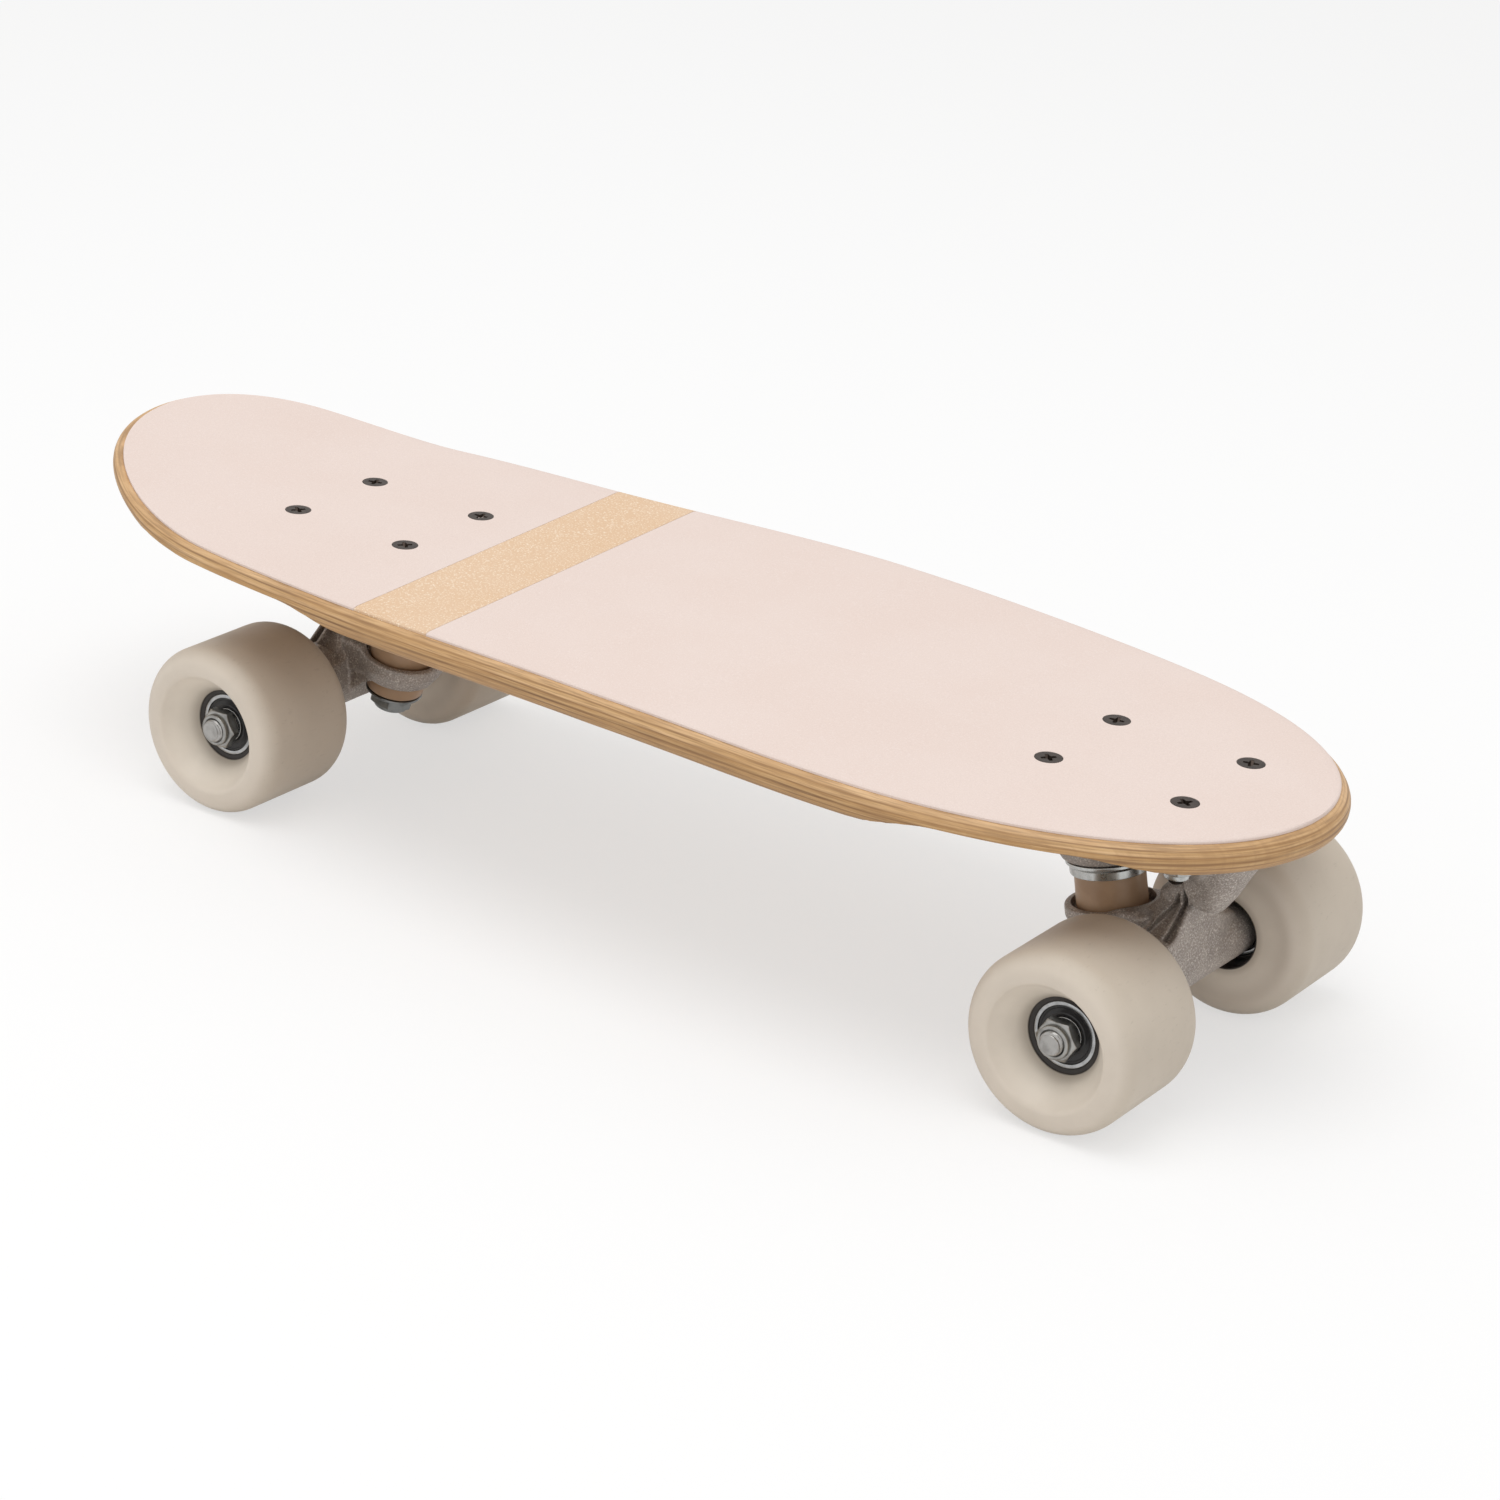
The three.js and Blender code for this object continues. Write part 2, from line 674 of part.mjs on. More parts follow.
// The washer that caps the top bushing, flared towards its top.
function topWasherBody() {
  const inner = kingpinDiameter / 2 + fitGap;
  const low = bushingDiameter / 2;
  return turnedZ([
    [inner, topWasherBottom], [low, topWasherBottom], [low + topWasherFlare, topWasherTop],
    [inner, topWasherTop], [inner, topWasherBottom],
  ], ringSides);
}

// The plain washer between the bottom bushing and the kingpin nut.
function bottomWasherBody() {
  const inner = kingpinDiameter / 2 + fitGap;
  return ringZ(inner, bottomWasherDiameter / 2, bottomWasherBottom, bottomWasherTop, ringSides);
}

// The plastic cup in the pivot boss that takes the hanger's nose.
function pivotCupBody() {
  const inner = noseDiameter / 2 + fitGap;
  return turnedZ([
    [0, noseEnd + fitGap], [inner, noseEnd + fitGap], [inner, noseStart], [cupOuterRadius, noseStart],
    [cupOuterRadius, cupEnd], [0, cupEnd],
  ], pinSides);
}

// The beam that holds the axle, turned about the axle with chamfered ends.
function beamBody() {
  const half = hangerWidth / 2;
  const end = beamDiameter / 2;
  const reach = beamMiddleDiameter / 2;
  return turnedY([
    [0, -half], [end - beamEndChamfer, -half], [end, beamEndChamfer - half], [end, -wheelInnerFace],
    [reach, -yokeWidth / 2], [reach, yokeWidth / 2], [end, wheelInnerFace],
    [end, half - beamEndChamfer], [end - beamEndChamfer, half], [0, half],
  ], ringSides).translate(axleSetOut, 0, axleHeight);
}

// The web: a wedge from the beam up to the neck. Its flat outboard face runs on from the beam, and
// its crest falls from the neck to the ring. The sections go across the truck.
function webBody() {
  const neck = noseStart - neckShoulderGap;
  const beam = beamDiameter / 2;
  const face = axleSetOut + beam;
  const top = steerPoint(neck, -neckDiameter / 3);
  const knee = axleHeight + webKneeRise;
  const kneeFace = THREE.MathUtils.mapLinear(knee, axleHeight, top[1], face, top[0]);
  const tall = [
    [face, axleHeight], top, steerPoint(neck - beam, webCrestDrop),
    steerPoint(ringDiameter / 2, -webCrestDrop), [axleSetOut - beam, ringHeight - ringBottomHeight],
  ];
  const middle = [
    [face, axleHeight], [kneeFace, knee], [axleSetOut, knee + webCrestDrop],
    [axleSetOut - beam, ringHeight], [axleSetOut - beam, axleHeight],
  ];
  const low = [
    [face, axleHeight], [face - beam / 2, axleHeight + beam], [axleSetOut, axleHeight + webFootRise],
    [axleSetOut - beam / 2, axleHeight + beam], [axleSetOut - beam, axleHeight],
  ];
  const outward = [[webTopWidth, tall], [webKneeWidth, middle], [webFootWidth, low]];
  const left = outward.toReversed().map(([width, points]) => [width / 2, points]);
  const right = outward.map(([width, points]) => [-width / 2, points]);
  return sweptBody([...left, ...right].map(([y, points]) => points.map(([x, z]) => [x, y, z])));
}

// The yoke between ring and beam.
function yokeBody() {
  const lower = ringHeight - ringBottomHeight;
  const upper = ringHeight + topSeat;
  return plateXZ([
    [-ringSetIn, lower], [axleSetOut - beamDiameter / 4, axleHeight - beamDiameter / 4],
    [axleSetOut, axleHeight + beamDiameter / 4], [axleSetOut, upper], [-ringSetIn, upper],
  ], yokeWidth);
}

// The neck and its round nose, turned about the steering axis.
function neckBody() {
  const neck = neckDiameter / 2;
  const nose = noseDiameter / 2;
  const shoulder = noseStart - neckShoulderGap;
  return onSteerAxis(turnedZ([
    [0, shoulder - neckDiameter], [neck / 2, shoulder - neckDiameter], [neck, shoulder - neck],
    [neck, shoulder - neckShoulderGap], [nose, shoulder], [nose, noseEnd - nose / 2],
    [nose * Math.SQRT1_2, noseEnd - nose / 6], [nose / 3, noseEnd], [0, noseEnd],
  ], pinSides));
}

// The cast hanger.
function hangerBody() {
  const rim = ringDiameter / 2;
  const ring = turnedZ([
    [0, -ringBottomHeight], [ringBottomDiameter / 2, -ringBottomHeight], [rim, 0],
    [rim, ringTopHeight], [0, ringTopHeight],
  ], ringSides);
  const bodies = [onKingpin(ring), beamBody(), neckBody(), yokeBody()];
  const bossSpace = barZ(hangerWidth / 2, noseStart - neckShoulderGap, cupEnd, ringSides);
  const web = solid(webBody()).subtract(solid(onSteerAxis(bossSpace)));
  const cupRadius = bushingDiameter / 2 + ringCupPlay;
  const lowCupRadius = bottomBushingDiameter / 2 + ringCupPlay;
  const holeRadius = kingpinDiameter / 2 + kingpinPlay;
  const nutRadius = hexCornerRadius(kingpinHeadFlats) + nutPlay;
  const above = topWasherTop;
  const cutters = [
    barZ(cupRadius, topSeat, above, ringSides),
    barZ(holeRadius, -ringDiameter, above, pinSides),
    barZ(lowCupRadius, bottomSeat - ringBottomCupDepth - cutOverrun, bottomSeat, ringSides),
    barZ(nutRadius, kingpinNutBottom - ringDiameter, -ringBottomHeight, ringSides),
  ].map((cutter) => onKingpin(cutter));
  const reach = hangerWidth / 2 + cutOverrun;
  const bore = axleDiameter / 2 + fitGap;
  cutters.push(turnedY([[0, -reach], [bore, -reach], [bore, reach], [0, reach]], pinSides)
    .translate(axleSetOut, 0, axleHeight));
  return geometryOf(cutFrom(joined([...bodies.map(solid), web]), cutters.map(solid)));
}

// The axle: one steel rod through the hanger, with chamfered ends.
function axleBody() {
  const radius = axleDiameter / 2;
  return turnedY([
    [0, -axleTip], [radius - axleChamfer, -axleTip], [radius, axleChamfer - axleTip],
    [radius, axleTip - axleChamfer], [radius - axleChamfer, axleTip], [0, axleTip],
  ], pinSides);
}

// A soft wheel with rounded edges, bearing seats, an inner recess and a dished outer face.
// Its profile runs along the axle; the sides' flats, not their corners, lie on the diameter.
function wheelBody() {
  const toCorner = 1 / Math.cos(halfTurn / wheelSides);
  const tread = wheelDiameter / 2 - wheelEdgeRadius;
  const seat = bearingDiameter / 2 + fitGap;
  const inner = innerRecessDiameter / 2;
  const core = wheelCoreInnerDiameter / 2;
  const throat = throatMouthDiameter / 2;
  const dish = Array.from({ length: dishSteps }, (_, i) => {
    const share = 1 - i / dishSteps;
    const depth = (outerRecessDepth - throatDepth) * (1 - share) ** dishPower;
    return [throat + (dishDiameter / 2 - throat) * share, wheelOuterFace - depth];
  });
  const edge = (place, from, to) => arcPoints(tread, place, wheelEdgeRadius, from, to, arcSteps);
  const profile = [
    [inner, innerBearingStart], [inner, wheelInnerFace + innerRecessChamfer],
    [inner + innerRecessChamfer, wheelInnerFace],
    ...edge(wheelInnerFace + wheelEdgeRadius, -halfTurn / 2, 0),
    ...edge(wheelOuterFace - wheelEdgeRadius, 0, halfTurn / 2),
    ...dish, [throat, outerBearingEnd + throatDepth], [throatFloorDiameter / 2, outerBearingEnd],
    [seat, outerBearingEnd], [seat, outerBearingStart - fitGap],
    [core, outerBearingStart - fitGap], [core, innerBearingEnd + fitGap],
    [seat, innerBearingEnd + fitGap], [seat, innerBearingStart], [inner, innerBearingStart],
  ].map(([radius, place]) => [radius * toCorner, place]);
  return turnedY(profile, wheelSides).rotateY(halfTurn / wheelSides);
}

// A ball bearing as one ring, with the shield of its outer face set in between the two races.
function bearingBody(start) {
  const bore = axleDiameter / 2 + fitGap;
  const outer = bearingDiameter / 2;
  const end = start + bearingWidth;
  const shield = end - bearingShieldInset;
  const [raceIn, raceOut] = [bore + bearingRingWall, outer - bearingRingWall];
  return turnedY([
    [bore, start], [outer, start], [outer, end], [raceOut, end], [raceOut, shield],
    [raceIn, shield], [raceIn, end], [bore, end], [bore, start],
  ], pinSides);
}

// The thin washer between the outer bearing and the axle nut.
function speedWasherBody() {
  const bore = axleDiameter / 2 + fitGap;
  const end = washerStart + speedWasherThickness;
  const outer = speedWasherDiameter / 2;
  return turnedY([[bore, washerStart], [outer, washerStart], [outer, end], [bore, end],
    [bore, washerStart]], pinSides);
}

// One wheel with its bearings, washer and nut, on the axle's +Y end.
function wheelSet(place) {
  const nut = lockNutBody(axleNutFlats, axleNutHeight, axleNutCollar, axleDiameter, pinSides);
  nut.rotateX(-halfTurn / 2).translate(0, axleNutStart, 0);
  const group = new THREE.Group();
  group.add(
    piece(`wheel_${place}`, wheelBody(), finishes.greyWheel),
    piece(`bearing_inboard_${place}`, bearingBody(innerBearingStart), finishes.blackSeal),
    piece(`bearing_outboard_${place}`, bearingBody(outerBearingStart), finishes.blackSeal),
    piece(`speed_washer_${place}`, speedWasherBody(), finishes.zinc),
    piece(`axle_nut_${place}`, nut, finishes.zinc),
  );
  return group;
}

// One truck with its two wheels, outboard side towards +X.
function truckGroup(truck) {
  const group = new THREE.Group();
  const kingpinLine = new THREE.Group();
  const steerLine = new THREE.Group();
  const axleLine = new THREE.Group();
  kingpinLine.position.set(-ringSetIn, 0, ringHeight);
  kingpinLine.rotation.y = -kingpinLean;
  steerLine.position.copy(kingpinLine.position);
  steerLine.rotation.y = halfTurn / 2 - steerTilt;
  axleLine.position.set(axleSetOut, 0, axleHeight);
  const nut = lockNutBody(kingpinHeadFlats, kingpinNutHeight, kingpinNutCollar, kingpinDiameter, pinSides);
  nut.rotateX(halfTurn).translate(0, 0, kingpinNutTop);
  const named = (word) => `${word}_${truck.name}`;
  kingpinLine.add(
    piece(named('kingpin'), kingpinBody(), finishes.steel),
    piece(named('kingpin_nut'), nut, finishes.zinc),
    piece(named('bushing_top'), topBushingBody(), finishes.brownUrethane),
    piece(named('bushing_bottom'), bottomBushingBody(), finishes.brownUrethane),
    piece(named('washer_top'), topWasherBody(), finishes.zinc),
    piece(named('washer_bottom'), bottomWasherBody(), finishes.zinc),
  );
  steerLine.add(piece(named('pivot_cup'), pivotCupBody(), finishes.darkPlastic));
  axleLine.add(piece(named('axle'), axleBody(), finishes.steel));
  sides.forEach((side) => {
    const set = wheelSet(`${truck.name}_${side.name}`);
    set.rotation.z = side.across === truck.outboard ? 0 : halfTurn;
    axleLine.add(set);
  });
  group.add(
    piece(named('baseplate'), baseplateBody(), finishes.castAluminium),
    piece(named('hanger'), hangerBody(), finishes.castAluminium),
    kingpinLine, steerLine, axleLine,
  );
  group.position.x = truck.x;
  group.rotation.z = truck.outboard > 0 ? 0 : halfTurn;
  return group;
}

// The whole board.
const skateboard = new THREE.Group();
skateboard.add(piece('deck', deckBody(), finishes.wood));
skateboard.add(...gripStrips(), ...deckFasteners(), ...trucks.map(truckGroup));

export default skateboard;
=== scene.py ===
"""The looks of the cruiser skateboard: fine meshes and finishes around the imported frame.

Sizes are in millimetres and `MM` turns them into metres as a mesh is made. Every new shape is a grid
of points worked out with numpy. A truck is drawn in its own frame, with +X outboard and the origin on
the floor under its bolt pattern, and is then set in place and turned.
"""

import logging
import math
from dataclasses import dataclass
from enum import Enum
from typing import Mapping, Sequence

import bmesh
import bpy
import numpy as np
from mathutils import Matrix, Vector


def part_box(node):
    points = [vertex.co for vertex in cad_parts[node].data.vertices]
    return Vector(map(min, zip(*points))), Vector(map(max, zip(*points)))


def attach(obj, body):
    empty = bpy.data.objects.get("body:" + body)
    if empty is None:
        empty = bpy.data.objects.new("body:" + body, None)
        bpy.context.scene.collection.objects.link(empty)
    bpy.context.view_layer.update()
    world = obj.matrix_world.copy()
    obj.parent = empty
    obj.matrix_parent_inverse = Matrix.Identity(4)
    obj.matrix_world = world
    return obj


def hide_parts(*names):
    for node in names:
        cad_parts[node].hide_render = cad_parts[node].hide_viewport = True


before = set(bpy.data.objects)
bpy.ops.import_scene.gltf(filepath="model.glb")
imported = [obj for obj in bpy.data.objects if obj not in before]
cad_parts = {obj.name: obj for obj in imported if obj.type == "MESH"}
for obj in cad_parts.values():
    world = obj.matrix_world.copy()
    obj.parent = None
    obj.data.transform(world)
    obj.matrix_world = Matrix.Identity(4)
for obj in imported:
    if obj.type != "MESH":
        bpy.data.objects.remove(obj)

MM = 0.001
WELD_METRES = 2e-7
SHARP_DEGREES = 34.0
BOARD_THICKNESS = 10.5
log = logging.getLogger("skateboard")

Profile = Sequence[tuple[float, float]]
Colour = tuple[float, float, float, float]


class Named(Enum):
    """Options whose names stand in the names of nodes and pieces."""

    @property
    def word(self) -> str:
        """The option's name as it stands there."""
        return self.name.lower()


class End(Named):
    """The two trucks, each with the way that its outboard side faces along X."""

    FRONT = 1
    REAR = -1


class Side(Named):
    """The two sides of the board, each with its direction along Y."""

    LEFT = 1
    RIGHT = -1


@dataclass(frozen=True)
class Shell:
    """Closed surfaces as corner points in millimetres and the quads between them."""

    points: np.ndarray
    quads: np.ndarray

    def __add__(self, other: "Shell") -> "Shell":
        """Both shells in one."""
        quads = np.vstack([self.quads, other.quads + len(self.points)])
        return Shell(np.vstack([self.points, other.points]), quads)

    def moved(self, matrix: Matrix) -> "Shell":
        """The shell under a matrix whose shift is in millimetres."""
        turn = np.array(matrix.to_3x3())
        return Shell(self.points @ turn.T + np.array(matrix.translation), self.quads)


def fused(shells: Sequence[Shell]) -> Shell:
    """A row of shells in one."""
    return sum(shells[1:], shells[0])


def shift(x: float, y: float, z: float) -> Matrix:
    """A matrix that moves by millimetres."""
    return Matrix.Translation(Vector((x, y, z)))


def smooth_step(share: np.ndarray) -> np.ndarray:
    """A rise with level ends, 3 s² − 2 s³, for shares that are first held between 0 and 1."""
    held = np.clip(share, 0, 1)
    return held**2 * (3 - 2 * held)


def outward_of(outline: np.ndarray) -> np.ndarray:
    """Unit directions out of a closed outline that runs counterclockwise, one at each point."""
    along = np.roll(outline, -1, axis=0) - np.roll(outline, 1, axis=0)
    return np.column_stack([along[:, 1], -along[:, 0]]) / np.linalg.norm(along, axis=1)[:, None]


def grid_shell(grid: np.ndarray, around: bool = True) -> Shell:
    """Quads between the neighbours of a grid of points.

    Args:
        grid: Points as rows by columns by 3.
        around: Whether the last column joins the first.

    Returns:
        The shell, closed where the rows end in poles or in a copy of the first row.
    """
    rows, columns, _ = grid.shape
    index = np.arange(rows * columns).reshape(rows, columns)
    if around:
        index = np.hstack([index, index[:, :1]])
    corners = [index[:-1, :-1], index[1:, :-1], index[1:, 1:], index[:-1, 1:]]
    return Shell(grid.reshape(-1, 3), np.stack(corners, axis=-1).reshape(-1, 4))


def rounded(points: Profile, radius: float | Sequence[float], steps: int = 5) -> np.ndarray:
    """A path whose inner corners are arcs tangent to both sides.

    The arc's centre lies on the corner's bisector at radius / sin(half the corner's angle).

    Args:
        points: The path's corners.
        radius: One radius, or one for each point; a side is never trimmed past its middle.
        steps: Segments in each arc.

    Returns:
        The points of the rounded path.
    """
    path = np.asarray(points, float)
    radii = np.broadcast_to(radius, len(path))
    made = [path[:1]]
    for before, corner, after, size in zip(path[:-2], path[1:-1], path[2:], radii[1:-1]):
        back, ahead = before - corner, after - corner
        reach = min(np.linalg.norm(back), np.linalg.norm(ahead)) / 2
        back, ahead = back / np.linalg.norm(back), ahead / np.linalg.norm(ahead)
        half = math.acos(float(np.clip(back @ ahead, -1, 1))) / 2
        if size <= 0 or half > math.radians(88):
            made.append(corner[None])
            continue
        trim = min(size / math.tan(half), reach)
        middle = (back + ahead) / np.linalg.norm(back + ahead)
        centre = corner + middle * trim * math.tan(half) / math.sin(half)
        start, end = corner + back * trim - centre, corner + ahead * trim - centre
        sweep = math.pi - 2 * half
        share = np.linspace(0, 1, steps + 1)[:, None]
        arc = (np.sin((1 - share) * sweep) * start + np.sin(share * sweep) * end) / math.sin(sweep)
        made.append(centre + arc)
    made.append(path[-1:])
    return np.vstack(made)


def soft_path(corners: Sequence[tuple[float, float, float]], steps: int = 5) -> np.ndarray:
    """A rounded path, from the two coordinates of each corner and the radius of its arc."""
    table = np.asarray(corners, float)
    return rounded(table[:, :2], table[:, 2], steps)


def about_axis(radius: np.ndarray, angle: np.ndarray, height: np.ndarray) -> Shell:
    """A shell about Z, with x = r cos θ, y = r sin θ and z = h for each ring and angle."""
    reach, turn, tall = np.broadcast_arrays(radius, angle, height)
    return grid_shell(np.stack([reach * np.cos(turn), reach * np.sin(turn), tall], axis=-1))


def turned(profile: Profile, sides: int = 96) -> Shell:
    """A turned piece about Z along a profile of (r, h).

    Args:
        profile: Radius and height of each ring, from pole to pole or back to the first ring.
        sides: Segments around the axis.

    Returns:
        The closed shell.
    """
    radius, height = np.asarray(profile, float).T[:, :, None]
    return about_axis(radius, np.linspace(0, math.tau, sides, endpoint=False), height)


def bar(radius: float, low: float, high: float, sides: int = 48) -> Shell:
    """A plain round bar about Z between two heights."""
    return turned([(0, low), (radius, low), (radius, high), (0, high)], sides)


def hoop(inner: float, outer: float, low: float, high: float, edge: float) -> Shell:
    """A washer or tube about Z with softened edges.

    Args:
        inner: Radius of the hole.
        outer: Radius of the rim.
        low: Height of the lower face.
        high: Height of the upper face.
        edge: Radius of the edges.

    Returns:
        The closed shell.
    """
    start = (inner, (low + high) / 2)
    corners = [start, (inner, low), (outer, low), (outer, high), (inner, high), start]
    return turned(rounded(corners, edge, 3))


def screw(profile: Profile, low: float, high: float, pitch: float, depth: float,
          sides: int = 40) -> Shell:
    """A turned piece with a real helical thread between two heights.

    There r(θ, h) = R(h) − depth · |2 · frac(h / pitch − θ / 2π) − 1|.

    Args:
        profile: Radius and height of each ring, from pole to pole.
        low: Height where the thread starts.
        high: Height where the thread ends.
        pitch: Height of one turn.
        depth: Depth of the groove.
        sides: Segments around the axis.

    Returns:
        The closed shell.
    """
    corners = np.asarray(profile, float)
    rings = [corners[:1]]
    for start, end in zip(corners[:-1], corners[1:]):
        threaded = min(start[1], end[1]) < high and max(start[1], end[1]) > low
        count = max(1, math.ceil(abs(end[1] - start[1]) / pitch * 8)) if threaded else 1
        rings.append(start + (end - start) * np.linspace(0, 1, count + 1)[1:, None])
    radius, height = np.vstack(rings).T[:, :, None]
    angle = np.linspace(0, math.tau, sides, endpoint=False)[None]
    groove = depth * np.abs(2 * ((height / pitch - angle / math.tau) % 1) - 1)
    sunk = np.where((height > low) & (height < high), groove, 0)
    return about_axis(np.maximum(radius - sunk, 0), angle, height)


def lock_nut(flats: float, height: float, collar: float, bore: float) -> Shell:
    """A hexagon lock nut about Z, from z = 0 up, with its round collar on top.

    Each ring is r(θ) = min(flats / 2 / cos(θ mod 60° − 30°), limit), and the limits rise and fall
    along a 30° cone, which gives the flats their curved chamfers.

    Args:
        flats: Width across the flats.
        height: Height of the hexagon.
        collar: Height of the round collar over it.
        bore: Diameter of the hole.

    Returns:
        The closed shell.
    """
    corner, seat = flats / math.sqrt(3), flats * 0.475
    limit = np.linspace(seat, corner, 6)
    rise = (limit - seat) * math.tan(math.radians(30))
    wall, top, hole = flats * 0.44, height + collar, bore / 2
    dome = rounded([(wall, height), (wall, top - collar * 0.1), (hole + 0.7, top), (hole, top - 0.5)],
                   [0, collar * 0.75, 0.2, 0], 6)
    rows = [(hole, height / 2), (hole, 0.5), (hole + 0.5, 0), *zip(limit, rise),
            *zip(limit[::-1], height - rise[::-1]), *dome, (hole, height / 2)]
    limits, heights = np.array(rows).T[:, :, None]
    angle = np.radians(np.arange(0, 360, 5))[None]
    flat = flats / 2 / np.cos(angle % (math.pi / 3) - math.pi / 6)
    return about_axis(np.minimum(flat, limits), angle, heights)


def plate(outline: np.ndarray, low: float, high: float, edge: float, steps: int = 4) -> Shell:
    """A plate of an outline that runs counterclockwise, between two heights, with rounded rims.

    Each rim ring is the outline drawn in by edge · (1 − cos a), at edge · (1 − sin a) from the face.

    Args:
        outline: Points of the outline, without a copy of the first.
        low: Height of the lower face.
        high: Height of the upper face.
        edge: Radius of both rims.
        steps: Segments in each rim.

    Returns:
        The closed shell, whose faces are fans about the outline's middle.
    """
    ring = np.asarray(outline, float)
    outward = outward_of(ring)
    angle = np.linspace(math.pi / 2, 0, steps + 1)
    inset, drop = edge * (1 - np.cos(angle)), edge * (1 - np.sin(angle))
    centre = np.broadcast_to(ring.mean(axis=0), ring.shape)
    rows = [(centre, high), *((ring - outward * i, high - d) for i, d in zip(inset, drop)),
            *((ring - outward * i, low + d) for i, d in zip(inset[::-1], drop[::-1])), (centre, low)]
    grid = [np.column_stack([flat, np.full(len(ring), height)]) for flat, height in rows]
    return grid_shell(np.stack(grid))


def corner_outline(corners: Profile, radius: float, steps: int = 6) -> np.ndarray:
    """A closed outline through corners, each one rounded, without a copy of the first point.

    Args:
        corners: The corners in order.
        radius: Radius of every arc.
        steps: Segments in each arc.

    Returns:
        The outline's points.
    """
    path = np.asarray(corners, float)
    start = (path[0] + path[-1]) / 2
    return rounded([start, *path, start], radius, steps)[:-1]


def rod(start: Sequence[float], end: Sequence[float], radius: float, tip: float) -> Shell:
    """A round bar with domed ends from one point to another.

    Args:
        start: Where the bar starts.
        end: Where it ends.
        radius: Its radius at the start.
        tip: Its radius at the end.

    Returns:
        The closed shell.
    """
    run = Vector(end) - Vector(start)
    dome = np.linspace(0, math.pi / 2, 6)
    below = np.column_stack([radius * np.sin(dome), -radius * np.cos(dome)])
    above = np.column_stack([tip * np.cos(dome), run.length + tip * np.sin(dome)])
    turn = run.to_track_quat("Z", "Y").to_matrix().to_4x4()
    return turned(np.vstack([below, above]), 24).moved(shift(*start) @ turn)


def standing(shell: Shell) -> Shell:
    """A plate drawn in (X, Z), stood up so that its thickness runs along Y."""
    return shell.moved(Matrix.Rotation(math.pi / 2, 4, "X"))


def placed(name: str, data: bpy.types.ID) -> bpy.types.Object:
    """A new object of the scene that holds the data.

    Args:
        name: The object's name.
        data: Its mesh, lamp or camera.

    Returns:
        The object.
    """
    item = bpy.data.objects.new(name, data)
    bpy.context.scene.collection.objects.link(item)
    return item


def mesh_of(name: str, shell: Shell, sharp_degrees: float = SHARP_DEGREES) -> bpy.types.Mesh:
    """A welded mesh in metres with outward faces, smooth but for its sharp edges.

    Args:
        name: The mesh's name.
        shell: The surface, in millimetres.
        sharp_degrees: Edges that turn more than this stay sharp.

    Returns:
        The mesh.
    """
    mesh = bpy.data.meshes.new(name)
    mesh.from_pydata((shell.points * MM).tolist(), [], shell.quads.tolist())
    work = bmesh.new()
    work.from_mesh(mesh)
    bmesh.ops.remove_doubles(work, verts=work.verts, dist=WELD_METRES)
    bmesh.ops.recalc_face_normals(work, faces=work.faces)
    work.to_mesh(mesh)
    work.free()
    mesh.shade_smooth()
    mesh.set_sharp_from_angle(angle=math.radians(sharp_degrees))
    return mesh


def modified(mesh: bpy.types.Mesh, steps: Sequence[tuple[str, Mapping[str, object]]],
             sharp_degrees: float = SHARP_DEGREES) -> bpy.types.Mesh:
    """A mesh after a row of modifiers has been applied to it.

    Args:
        mesh: The mesh to start from.
        steps: Each modifier's type and its settings.
        sharp_degrees: Edges that turn more than this stay sharp.

    Returns:
        The new mesh.
    """
    item = placed(mesh.name + "_work", mesh)
    for kind, settings in steps:
        step = item.modifiers.new(kind.title(), kind)
        for key, value in settings.items():
            setattr(step, key, value)
    graph = bpy.context.evaluated_depsgraph_get()
    made = bpy.data.meshes.new_from_object(item.evaluated_get(graph))
    bpy.data.objects.remove(item)
    made.shade_smooth()
    made.set_sharp_from_angle(angle=math.radians(sharp_degrees))
    return made


def cut(mesh: bpy.types.Mesh, cutter: Shell, sharp_degrees: float = SHARP_DEGREES) -> bpy.types.Mesh:
    """A mesh with a cutter's shape taken out of it.

    Args:
        mesh: The mesh to cut.
        cutter: The shape to take away, in millimetres.
        sharp_degrees: Edges that turn more than this stay sharp.

    Returns:
        The new mesh.
    """
    tool = placed(mesh.name + "_cutter", mesh_of("cutter", cutter))
    settings = {"operation": "DIFFERENCE", "solver": "EXACT", "object": tool}
    made = modified(mesh, [("BOOLEAN", settings)], sharp_degrees)
    bpy.data.objects.remove(tool)
    return made


def cast(name: str, solids: Shell, voxel: float, passes: int,
         pockets: Shell | None = None) -> bpy.types.Mesh:
    """Solids fused into one casting with soft fillets where they meet.

    Args:
        name: The mesh's name.
        solids: The overlapping closed shells.
        voxel: Cell of the fused surface, in millimetres.
        passes: Smoothing passes, which set the fillets' size.
        pockets: Shapes sunk into the casting before it is smoothed.

    Returns:
        The fused mesh.
    """
    fuse = ("REMESH", {"mode": "VOXEL", "voxel_size": voxel * MM})
    smooth = ("SMOOTH", {"factor": 0.5, "iterations": passes})
    body = modified(mesh_of(name, solids), [fuse])
    if pockets is not None:
        body = modified(cut(body, pockets), [fuse])
    return modified(body, [smooth])


def point_values(mesh: bpy.types.Mesh, name: str, values: np.ndarray) -> None:
    """Stores one number for each point of a mesh, for its finish to read."""
    layer = mesh.attributes.new(name, "FLOAT", "POINT")
    layer.data.foreach_set("value", np.asarray(values, np.float32))


def points_of(mesh: bpy.types.Mesh) -> np.ndarray:
    """The mesh's points in millimetres, as rows of x, y and z.

    Args:
        mesh: The mesh.

    Returns:
        The rows.
    """
    flat = np.empty(len(mesh.vertices) * 3, np.float32)
    mesh.vertices.foreach_get("co", flat)
    return flat.reshape(-1, 3) / MM


